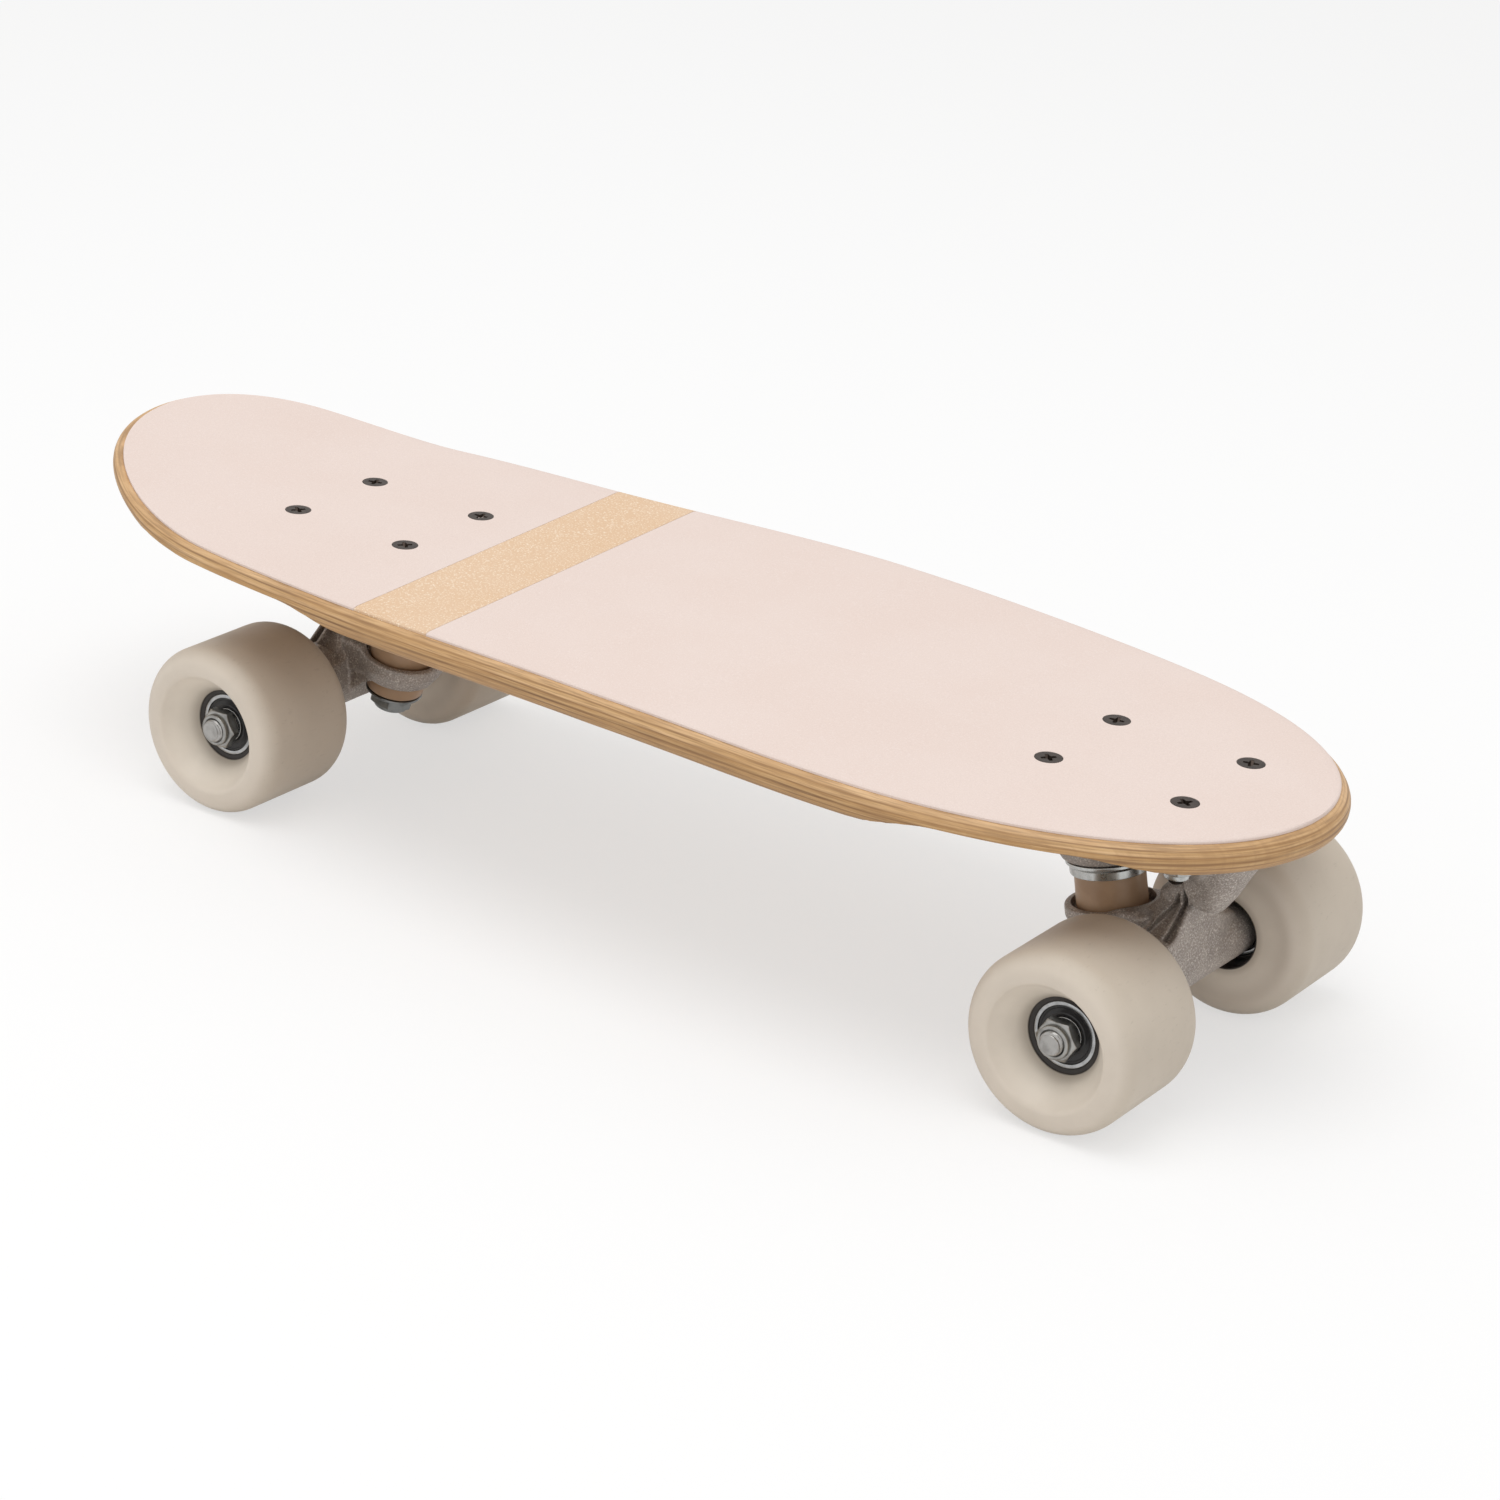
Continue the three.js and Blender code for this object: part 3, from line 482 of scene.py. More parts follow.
def add_piece(mesh: bpy.types.Mesh, nodes: Sequence[str], name: str, body: str, finish: "Finish",
              place: Matrix = Matrix.Identity(4)) -> None:
    """Adds a finished piece: the mesh in place, dressed, named and riding on its body.

    Args:
        mesh: The mesh, which is copied.
        nodes: The CAD nodes that the piece stands for.
        name: The piece's name.
        body: The CAD body that it rides on.
        finish: Its finish.
        place: Where it goes, with its shift in millimetres.
    """
    data = mesh.copy()
    data.name = name
    metres = place.copy()
    metres.translation = place.translation * MM
    data.transform(metres)
    data.materials.clear()
    data.materials.append(finish.material())
    item = placed(name, data)
    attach(item, body)
    if nodes:
        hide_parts(*nodes)
    log.info("%s rides on %s with %d faces", name, body, len(data.polygons))


def colour(red: int, green: int, blue: int) -> Colour:
    """A colour written as it shows on a screen, made linear for a shader."""
    def linear(level: int) -> float:
        """One channel from 0 to 255 as a linear share."""
        share = level / 255
        return share / 12.92 if share <= 0.04045 else ((share + 0.055) / 1.055) ** 2.4
    return (linear(red), linear(green), linear(blue), 1.0)


class Wire:
    """A number inside a shader. Arithmetic on it adds Math nodes."""

    def __init__(self, shader: "Shader", socket: bpy.types.NodeSocket) -> None:
        """Holds a node's output socket."""
        self.shader = shader
        self.socket = socket

    def _math(self, operation: str, first: object, second: object) -> "Wire":
        """One Math node on two wires or numbers."""
        node = self.shader.node("ShaderNodeMath", {"operation": operation}, {0: first, 1: second})
        return Wire(self.shader, node.outputs[0])

    def __add__(self, other: "Wire | float") -> "Wire":
        """Sum."""
        return self._math("ADD", self, other)

    __radd__ = __add__

    def __sub__(self, other: "Wire | float") -> "Wire":
        """Difference."""
        return self._math("SUBTRACT", self, other)

    def __rsub__(self, other: float) -> "Wire":
        """Difference from a number."""
        return self._math("SUBTRACT", other, self)

    def __mul__(self, other: "Wire | float") -> "Wire":
        """Product."""
        return self._math("MULTIPLY", self, other)

    __rmul__ = __mul__

    def __truediv__(self, other: "Wire | float") -> "Wire":
        """Quotient."""
        return self._math("DIVIDE", self, other)

    def between(self, low: float, high: float) -> "Wire":
        """A smooth rise from 0 to 1 between two values, level beyond them.

        Args:
            low: The value that gives 0.
            high: The value that gives 1, which may be the lesser.

        Returns:
            The number from 0 to 1.
        """
        settings = {"interpolation_type": "SMOOTHSTEP"}
        node = self.shader.node("ShaderNodeMapRange", settings, {0: self, 1: low, 2: high})
        return Wire(self.shader, node.outputs[0])


class Shader:
    """The nodes of a material or world in the making, around the shader that it starts with."""

    def __init__(self, item: bpy.types.ID, surface: str = "Principled BSDF") -> None:
        """Turns on the nodes of a new material or world and finds its shader by name.

        Args:
            item: The new material or world.
            surface: The shader's name in it.
        """
        self.item = item
        self.item.use_nodes = True
        self.tree = self.item.node_tree
        self.surface = self.tree.nodes[surface]

    def node(self, kind: str, settings: Mapping[str, object], inputs: Mapping[object, object],
             ) -> bpy.types.Node:
        """Adds a node of any type.

        Args:
            kind: The node's type.
            settings: Its settings, which are set before its sockets.
            inputs: A value, wire or socket for each input, by name or number.

        Returns:
            The node.
        """
        made = self.tree.nodes.new(kind)
        for key, value in settings.items():
            setattr(made, key, value)
        for key, value in inputs.items():
            self.feed(made.inputs[key], value)
        return made

    def feed(self, socket: bpy.types.NodeSocket, value: object) -> None:
        """Links a wire or socket to an input, or sets its value."""
        if isinstance(value, Wire):
            value = value.socket
        if isinstance(value, bpy.types.NodeSocket):
            self.tree.links.new(value, socket)
        else:
            socket.default_value = value

    def place(self, scale: Sequence[float] = (1, 1, 1)) -> bpy.types.NodeSocket:
        """Object coordinates in metres, stretched by a factor along each axis.

        Args:
            scale: The three factors.

        Returns:
            The coordinates.
        """
        spot = self.node("ShaderNodeTexCoord", {}, {}).outputs["Object"]
        node = self.node("ShaderNodeVectorMath", {"operation": "MULTIPLY"}, {0: spot, 1: scale})
        return node.outputs[0]

    def value(self, name: str) -> Wire:
        """A number stored at the mesh's points."""
        node = self.node("ShaderNodeAttribute", {"attribute_name": name}, {})
        return Wire(self, node.outputs["Fac"])

    def noise(self, where: bpy.types.NodeSocket, scale: float, detail: float = 2,
              rough: float = 0.5) -> Wire:
        """Soft noise from 0 to 1 with features of about 1 / scale metres."""
        inputs = {"Vector": where, "Scale": scale, "Detail": detail, "Roughness": rough}
        return Wire(self, self.node("ShaderNodeTexNoise", {}, inputs).outputs["Fac"])

    def mix(self, share: object, first: object, second: object) -> bpy.types.NodeSocket:
        """One colour over another by a share from 0 to 1."""
        inputs = {0: share, 6: first, 7: second}
        return self.node("ShaderNodeMix", {"data_type": "RGBA"}, inputs).outputs[2]

    def ramp(self, share: Wire, stops: Sequence[tuple[float, Colour]]) -> bpy.types.NodeSocket:
        """A colour read off a row of stops.

        Args:
            share: Where to read, from 0 to 1.
            stops: Positions in order, with their colours.

        Returns:
            The colour.
        """
        node = self.node("ShaderNodeValToRGB", {}, {0: share})
        marks = node.color_ramp.elements
        marks[0].position, marks[0].color = stops[0]
        marks[1].position, marks[1].color = stops[-1]
        for position, tint in stops[1:-1]:
            marks.new(position).color = tint
        return node.outputs[0]

    def relief(self, height: Wire, depth: float, strength: float) -> bpy.types.NodeSocket:
        """A Bump node's normal, for a height of 0 to 1 and a depth in millimetres."""
        inputs = {"Height": height, "Distance": depth * MM, "Strength": strength}
        return self.node("ShaderNodeBump", {}, inputs).outputs[0]

    def dress(self, inputs: Mapping[str, object]) -> bpy.types.ID:
        """Feeds the shader and gives the material or world."""
        for key, value in inputs.items():
            self.feed(self.surface.inputs[key], value)
        return self.item


@dataclass(frozen=True)
class Finish:
    """A finish with its name and the record's material slot."""

    name: str
    slot: str

    def material(self) -> bpy.types.Material:
        """The material, made once and then used again."""
        found = bpy.data.materials.get(self.name)
        return found or self.made(Shader(bpy.data.materials.new(self.name)))

    def made(self, shader: Shader) -> bpy.types.Material:
        """Builds the material's nodes."""
        raise NotImplementedError


@dataclass(frozen=True)
class GripPaper(Finish):
    """Grip sheet: a matt printed surface full of fine grit."""

    base: Colour
    grit: Colour
    grit_share: float

    def made(self, shader: Shader) -> bpy.types.Material:
        """Soft clouds, fine grit and sparse lighter grains, with a sandy relief.

        Args:
            shader: The material in the making.

        Returns:
            The dressed material.
        """
        spot = shader.place()
        clouds = shader.noise(spot, 24, 3).between(0.3, 0.7)
        fine = shader.noise(spot, 2600, 2)
        grains = shader.noise(spot, 1500, 1)
        lit = shader.mix(clouds * 0.05, self.base, (1, 1, 1, 1))
        specked = shader.mix(grains.between(0.56, 0.66) * self.grit_share, lit, self.grit)
        dark = shader.mix(fine.between(0.62, 0.34) * 0.07, specked, (0.25, 0.18, 0.14, 1))
        return shader.dress({
            "Base Color": dark, "Roughness": 0.78 + fine * 0.18,
            "Normal": shader.relief(fine, 0.12, 0.6), "Specular IOR Level": 0.3,
        })


@dataclass(frozen=True)
class Plywood(Finish):
    """Maple plies that show as bands on the rounded edge, and veneer on the flat faces."""

    thickness: float

    def made(self, shader: Shader) -> bpy.types.Material:
        """Soft bands by depth under the top face, with fine streaks along the board and pores.

        Args:
            shader: The material in the making.

        Returns:
            The dressed material.
        """
        face, light, warm = colour(222, 183, 136), colour(203, 163, 112), colour(184, 141, 90)
        dark, low = colour(126, 89, 52), colour(188, 147, 98)
        wobble = shader.noise(shader.place(), 38, 3) - 0.5
        depth = shader.value("depth") / (self.thickness * MM) + wobble * 0.05
        bands = shader.ramp(depth, [
            (0.0, face), (0.13, face), (0.16, dark), (0.20, light), (0.29, face), (0.33, dark),
            (0.36, warm), (0.45, light), (0.49, dark), (0.52, dark), (0.55, warm), (0.64, light),
            (0.67, dark), (0.70, warm), (0.80, low), (0.83, dark), (0.87, warm), (1.0, low),
        ])
        worn = shader.noise(shader.place((26, 26, 200)), 1, 2)
        plies = shader.mix(worn.between(0.3, 0.62) * 0.62, bands, warm)
        streak = shader.noise(self.lay(shader), 1, 4, 0.65)
        grain = shader.noise(shader.place((22, 700, 60)), 1, 4, 0.6)
        toned = shader.mix(streak.between(0.56, 0.34) * 0.55, plies, colour(132, 98, 64))
        lit = shader.mix(streak.between(0.52, 0.72) * 0.4, toned, colour(224, 194, 150))
        figured = shader.mix(grain.between(0.6, 0.3) * 0.2, lit, colour(150, 110, 70))
        return shader.dress({
            "Base Color": figured, "Roughness": 0.45 + streak * 0.25,
            "Normal": shader.relief(streak, 0.1, 0.6), "Coat Weight": 0.12, "Coat Roughness": 0.35,
        })

    @staticmethod
    def lay(shader: Shader) -> bpy.types.NodeSocket:
        """Coordinates that change slowly in plan and quickly with depth, for streaks on the edge.

        Args:
            shader: The material in the making.

        Returns:
            The coordinates.
        """
        split = shader.node("ShaderNodeSeparateXYZ", {}, {0: shader.place((48, 48, 48))})
        inputs = {0: split.outputs[0], 1: split.outputs[1], 2: shader.value("depth") * 2300}
        return shader.node("ShaderNodeCombineXYZ", {}, inputs).outputs[0]


@dataclass(frozen=True)
class Urethane(Finish):
    """Cast urethane of a wheel: smooth, darker and a little warmer on the tread as painted shade and
    warm light bounced from the deck, with faint handling marks.

    Each fade says from which distance to which, off the axle and in millimetres, a tint comes in:
    the tread's painted shade, the dish's painted light, the painted shade deep in the dish and the
    dark ring round the bearing seat.
    """

    face: Colour
    # painted shade and warm light bounced from the deck, on the tread
    tread: Colour
    # painted light in the dish, for light that comes through the translucent urethane
    dish: Colour
    shade: Colour
    # the dark ring round the bearing seat
    core: Colour
    fades: tuple[tuple[float, float], ...] = ((25.5, 29.8), (22.5, 17.0), (15.5, 12.6), (12.9, 12.5))

    def made(self, shader: Shader) -> bpy.types.Material:
        """Painted shade on the tread and deep in the dish and painted light in the dish, by the distance
        from the axle, over soft clouds and fine scuffs, and a dark ring round the bearing seat.

        Args:
            shader: The material in the making.

        Returns:
            The dressed material.
        """
        clouds = shader.noise(shader.place(), 60, 3, 0.6)
        scuffs = shader.noise(shader.place((900, 260, 900)), 1, 3, 0.65)
        radius = shader.value("radius")
        # pale marks where the painted light in the dish comes in, deep the painted shade near the throat
        outer, pale, deep, hub = (radius.between(low * MM, high * MM) for low, high in self.fades)
        # painted shade on the tread, then painted light in the dish
        base = shader.mix(pale, shader.mix(outer, self.face, self.tread), self.dish)
        # painted shade deep in the dish, near the throat
        dish_shaded = shader.mix(deep * 0.6, base, self.shade)
        cloudy = shader.mix(clouds.between(0.35, 0.75) * 0.14, dish_shaded, self.shade)
        marked = shader.mix(scuffs.between(0.6, 0.72) * outer * 0.12, cloudy, colour(120, 104, 90))
        # a dark ring round the bearing seat, by the distance from the axle
        dark_ringed = shader.mix(hub, marked, self.core)
        return shader.dress({
            "Base Color": dark_ringed, "Roughness": 0.4 + clouds * 0.12 + outer * 0.1,
            "Normal": shader.relief(scuffs, 0.03, 0.3), "Specular IOR Level": 0.45,
        })


@dataclass(frozen=True)
class CastMetal(Finish):
    """Sand-cast metal: sandy, dull, with lighter grains."""

    base: Colour
    grain: Colour
    pit: Colour

    def made(self, shader: Shader) -> bpy.types.Material:
        """Grains, pits and slow clouds, with a rough relief.

        Args:
            shader: The material in the making.

        Returns:
            The dressed material.
        """
        spot = shader.place()
        fine = shader.noise(spot, 1700, 3, 0.65)
        clouds = shader.noise(spot, 90, 3)
        cloudy = shader.mix(clouds.between(0.35, 0.7) * 0.35, self.base, self.pit)
        grained = shader.mix(fine.between(0.52, 0.66) * 0.75, cloudy, self.grain)
        pitted = shader.mix(fine.between(0.46, 0.32) * 0.6, grained, self.pit)
        return shader.dress({
            "Base Color": pitted, "Roughness": 0.42 + fine * 0.25, "Metallic": 0.4,
            "Normal": shader.relief(fine, 0.16, 0.8),
        })


@dataclass(frozen=True)
class Metal(Finish):
    """Plated or bare steel: a clear colour with fine brushing and a few dull spots."""

    base: Colour
    dull: Colour
    rough: float
    metallic: float = 1.0

    def made(self, shader: Shader) -> bpy.types.Material:
        """Dull clouds and fine scratches in colour, gloss and relief.

        Args:
            shader: The material in the making.

        Returns:
            The dressed material.
        """
        clouds = shader.noise(shader.place(), 260, 4, 0.6)
        fine = shader.noise(shader.place((3000, 3000, 800)), 1, 2)
        tint = shader.mix(clouds.between(0.4, 0.7) * 0.6, self.base, self.dull)
        worn = shader.mix(fine.between(0.55, 0.75) * 0.25, tint, self.dull)
        return shader.dress({
            "Base Color": worn, "Roughness": self.rough + clouds * 0.14,
            "Metallic": self.metallic, "Normal": shader.relief(fine, 0.02, 0.3),
        })


@dataclass(frozen=True)
class Moulded(Finish):
    """Moulded rubber or plastic: one colour with soft clouds and a fine skin."""

    base: Colour
    cloud: Colour
    rough: float

    def made(self, shader: Shader) -> bpy.types.Material:
        """Soft clouds and a fine skin.

        Args:
            shader: The material in the making.

        Returns:
            The dressed material.
        """
        clouds = shader.noise(shader.place(), 130, 3, 0.6)
        skin = shader.noise(shader.place(), 2200, 2)
        tint = shader.mix(clouds.between(0.3, 0.75) * 0.45, self.base, self.cloud)
        return shader.dress({
            "Base Color": tint, "Roughness": self.rough + skin * 0.12,
            "Normal": shader.relief(skin, 0.04, 0.35),
        })


PINK_GRIP = GripPaper("pink_grip_paper", "pink_grip", colour(229, 211, 202), colour(237, 223, 217), 0.4)
BAND_GRIP = GripPaper("band_grip_paper", "light_band", colour(224, 191, 157), colour(244, 226, 204), 0.85)
MAPLE = Plywood("maple_plywood", "deck_wood", BOARD_THICKNESS)
# wheel colours: face, tread with painted shade and bounce, dish with painted light, painted shade deep in
# the dish, dark ring
WHEEL_URETHANE = Urethane("wheel_urethane", "grey_wheel", colour(215, 203, 188), colour(202, 190, 174),
                          colour(229, 218, 203), colour(172, 160, 145), colour(42, 36, 32))
CASTING = CastMetal("sand_casting", "cast_aluminium", colour(166, 156, 148), colour(226, 218, 210),
                    colour(112, 103, 97))
ZINC = Metal("zinc_plate", "zinc", colour(190, 191, 189), colour(148, 148, 145), 0.2)
NUT_ZINC = Metal("dull_zinc_plate", "zinc", colour(164, 163, 160), colour(104, 102, 99), 0.24)
GREY_ZINC = Metal("grey_zinc_plate", "zinc", colour(136, 138, 137), colour(94, 96, 96), 0.3)
STEEL = Metal("bare_steel", "steel", colour(172, 170, 167), colour(130, 127, 123), 0.26)
RACE_STEEL = Metal("bearing_steel", "bearing", colour(176, 177, 178), colour(136, 136, 136), 0.18)
DARK_BOLT = Metal("dark_bolt_steel", "dark_bolt", colour(62, 51, 44), colour(36, 30, 26), 0.38, 0.7)
BUSHING = Moulded("bushing_urethane", "brown_urethane", colour(180, 148, 118), colour(156, 125, 97), 0.36)
SEAL = Moulded("seal_rubber", "bearing", colour(30, 29, 30), colour(48, 46, 46), 0.34)
CUP = Moulded("cup_plastic", "dark_plastic", colour(44, 43, 42), colour(62, 60, 58), 0.5)


@dataclass(frozen=True)
class Deck:
    """The plywood board and its grip sheet, about the widest place of the outline.

    The wells are given by where they start and end along the board, and their inner and full
    places across it.
    """

    widest: float = 22.2
    width: float = 174.0
    nose_reach: float = 219.0
    nose_power: float = 3.4
    tail_reach: float = 263.4
    tail_power: float = 7.3
    tail_taper: float = 0.196
    taper_power: float = 1.2
    stations: int = 110
    edge_steps: int = 14
    top_rings: int = 17
    under_rings: int = 45
    thickness: float = BOARD_THICKNESS
    tail_thinning: float = 4.2
    top: float = 94.9
    camber: float = 2.5
    camber_half: float = 125.35
    kick_start: float = 179.95
    kick_blend: float = 50.0
    kick_slope: float = 0.283
    well_edge: float = 5.0
    well_ramp: float = 36.0
    well_inner: float = 38.0
    well_full: float = 53.0
    grip_gap: float = 0.15
    grip_thickness: float = 0.94
    grip_inset: float = 3.6
    grip_step: float = 2.5
    rim_round: float = 0.18
    rim_bend: float = 1.9
    rim_sink: float = 0.11
    band_width: float = 32.5
    band_setback: float = 92.0
    band_skew: float = 0.0472
    band_fade: float = 60.0
    wells: tuple[tuple[float, float], ...] = ((114.0, 226.0), (-217.15, -80.0))

    def rise(self, x: np.ndarray) -> np.ndarray:
        """The surface's height over its flat truck zones.

        A cosine camber between the trucks, then a parabola that turns into the straight kick.

        Args:
            x: Places along the board.

        Returns:
            The heights.
        """
        along = x - self.widest
        camber = self.camber * (1 + np.cos(math.pi * along / self.camber_half)) / 2
        past = np.maximum(-along - self.kick_start, 0)
        curve = self.kick_slope * past**2 / (2 * self.kick_blend)
        straight = self.kick_slope * (past - self.kick_blend / 2)
        kick = np.where(past < self.kick_blend, curve, straight)
        return np.where(np.abs(along) < self.camber_half, camber, kick)

    def depth(self, x: np.ndarray) -> np.ndarray:
        """The board's thickness, which thins by a smooth step over the kick's curve."""
        share = (self.widest - x - self.kick_start) / self.kick_blend
        return self.thickness - self.tail_thinning * smooth_step(share)

    def well(self, x: np.ndarray, y: np.ndarray) -> np.ndarray:
        """How far the wheel wells reach up from the underside at a place.

        A smooth step along the board at both ends, times one across towards the edge.

        Args:
            x: Places along the board.
            y: Places across it.

        Returns:
            The heights.
        """
        along = np.max([smooth_step(np.minimum(x - low, high - x) / self.well_ramp)
                        for low, high in self.wells], axis=0)
        across = smooth_step((np.abs(y) - self.well_inner) / (self.well_full - self.well_inner))
        return np.maximum(self.depth(x) - self.well_edge, 0) * along * across

    def outline(self) -> tuple[np.ndarray, np.ndarray]:
        """The board's outline, and the direction that points out of it.

        Half widths are W √(1 − s^p) to the nose, and W (1 − t s^q) √(1 − s^p) to the tail with the
        tail's own p, at shares s = 1 − (1 − k)² that crowd towards the tips.

        Returns:
            The points and unit directions, from the nose tip along the left side and back.
        """
        share = 1 - (1 - np.linspace(0, 1, self.stations + 1)) ** 2
        half = self.width / 2
        nose = np.column_stack([self.widest + self.nose_reach * share,
                                half * np.sqrt(1 - share**self.nose_power)])
        taper = half * (1 - self.tail_taper * share**self.taper_power)
        tail = np.column_stack([self.widest - self.tail_reach * share,
                                taper * np.sqrt(1 - share**self.tail_power)])
        left = np.vstack([nose[::-1], tail[1:]])
        loop = np.vstack([left, left[-2:0:-1] * (1, -1)])
        return loop, outward_of(loop)

    def board(self) -> bpy.types.Mesh:
        """The board: flat faces, a full round edge and the wheel wells underneath.

        A ring of the edge at angle a is drawn in by r (1 − cos a) and lies r (1 − sin a) under the
        top, with r half the local thickness. The underside is never lower than the wells' roof.

        Returns:
            The board's mesh, without holes.
        """
        loop, outward = self.outline()
        radius = self.depth(loop[:, 0]) / 2
        inner = loop - outward * radius[:, None]
        rows = [(inner * (1, share), np.zeros(len(loop)))
                for share in np.linspace(0, 1, self.top_rings + 1)[:-1]]
        for angle in np.linspace(math.pi / 2, -math.pi / 2, self.edge_steps + 1):
            flat = loop - outward * (radius * (1 - math.cos(angle)))[:, None]
            rows.append((flat, radius * (1 - math.sin(angle))))
        rows += [(inner * (1, share), 2 * radius)
                 for share in np.linspace(1, 0, self.under_rings + 1)[1:]]
        flat = np.array([row for row, _ in rows])
        x, y = flat[..., 0], flat[..., 1]
        down = np.minimum(np.array([drop for _, drop in rows]), self.depth(x) - self.well(x, y))
        grid = np.stack([x, y, self.top + self.rise(x) - down], axis=-1)
        return mesh_of("board", grid_shell(grid), 50)

    def strip(self, back: float, front: float) -> bpy.types.Mesh:
        """One strip of the grip sheet between two places along the board.

        Every section across the board is a thin closed loop: the top from edge to edge, a rounded
        rim and the underside back. The first and last sections close onto their middle line. A point
        at y moves by −skew · y along the board, and that fades out away from the light band. The rim
        bends down with the board's round edge, by r − √(r² − (r − inset)²) for an edge radius r.

        Args:
            back: Where the strip starts; beyond the tail means from the tail's tip.
            front: Where it ends; beyond the nose means to the nose's tip.

        Returns:
            The strip's mesh.
        """
        loop, outward = self.outline()
        edge = (loop - outward * self.grip_inset)[:len(loop) // 2 + 1]
        order = np.argsort(edge[:, 0])
        places, halves = edge[order, 0], np.maximum(edge[order, 1], 0)
        low, high = max(back, places[0]), min(front, places[-1])
        inside = places[(places > low + 0.1) & (places < high - 0.1)]
        fill = np.arange(low, high, self.grip_step)
        x = np.unique(np.round(np.concatenate([[low], inside, fill, [high]]), 4))
        away = np.abs(x - self.widest + self.band_setback) - self.band_width / 2
        skew = self.band_skew * np.clip(1 - away / self.band_fade, 0, 1)
        thick, soft, bend = self.grip_thickness, self.rim_round, self.rim_bend
        across = [(-1.0, bend), *((share, bend) for share in np.linspace(-1, 1, 25)[1:-1]), (1.0, bend)]
        section = [(-1.0, -soft, 0.0), *((share, -inward, 0.0) for share, inward in across)]
        section += [(1.0, -soft, 0.0), (1.0, 0.0, -soft), (1.0, 0.0, 0.05 - thick), (1.0, -0.05, -thick)]
        section += [(share, -inward, -thick) for share, inward in across[::-1]]
        section += [(-1.0, -0.05, -thick), (-1.0, 0.0, 0.05 - thick), (-1.0, 0.0, -soft)]
        share, pull, drop = np.array(section).T[:, :, None]
        long = x - skew * share * np.interp(x, places, halves)
        wide = share * np.maximum(np.interp(long, places, halves) + pull, 0)
        surface = self.top + self.grip_gap + thick + self.rise(long)
        radius = self.depth(long) / 2
        flat = np.maximum(radius - self.grip_inset, 0)
        sink = np.where(pull > -bend, radius - np.sqrt(radius**2 - flat**2) + self.rim_sink, 0)
        grid = np.stack([long, wide, surface + drop - sink], axis=-1).transpose(1, 0, 2)
        ends = [grid[0].copy(), grid[-1].copy()]
        for end, place in zip(ends, (0, -1)):
            end[:, 2] = surface[:, place] - thick / 2
        return mesh_of("strip", grid_shell(np.stack([ends[0], *grid, ends[1]])), 40)

    def build(self, holes: Shell) -> None:
        """Adds the board and the three strips.

        Args:
            holes: The cutter for the bolts' holes.
        """
        board = cut(self.board(), holes, 50)
        spots = points_of(board)
        under = self.top + self.rise(spots[:, 0]) - spots[:, 2]
        point_values(board, "depth", under * MM)
        add_piece(board, ["deck"], "deck_plywood", "deck_body", MAPLE)
        back = self.widest - self.band_setback - self.band_width / 2
        front = back + self.band_width
        strips = [("grip_tail", -self.tail_reach, back - self.grip_gap, PINK_GRIP),
                  ("grip_band", back, front, BAND_GRIP),
                  ("grip_front", front + self.grip_gap, self.tail_reach, PINK_GRIP)]
        for node, low, high, finish in strips:
            sheet = cut(self.strip(low, high), holes, 40)
            add_piece(sheet, [node], node + "_sheet", "deck_body", finish)


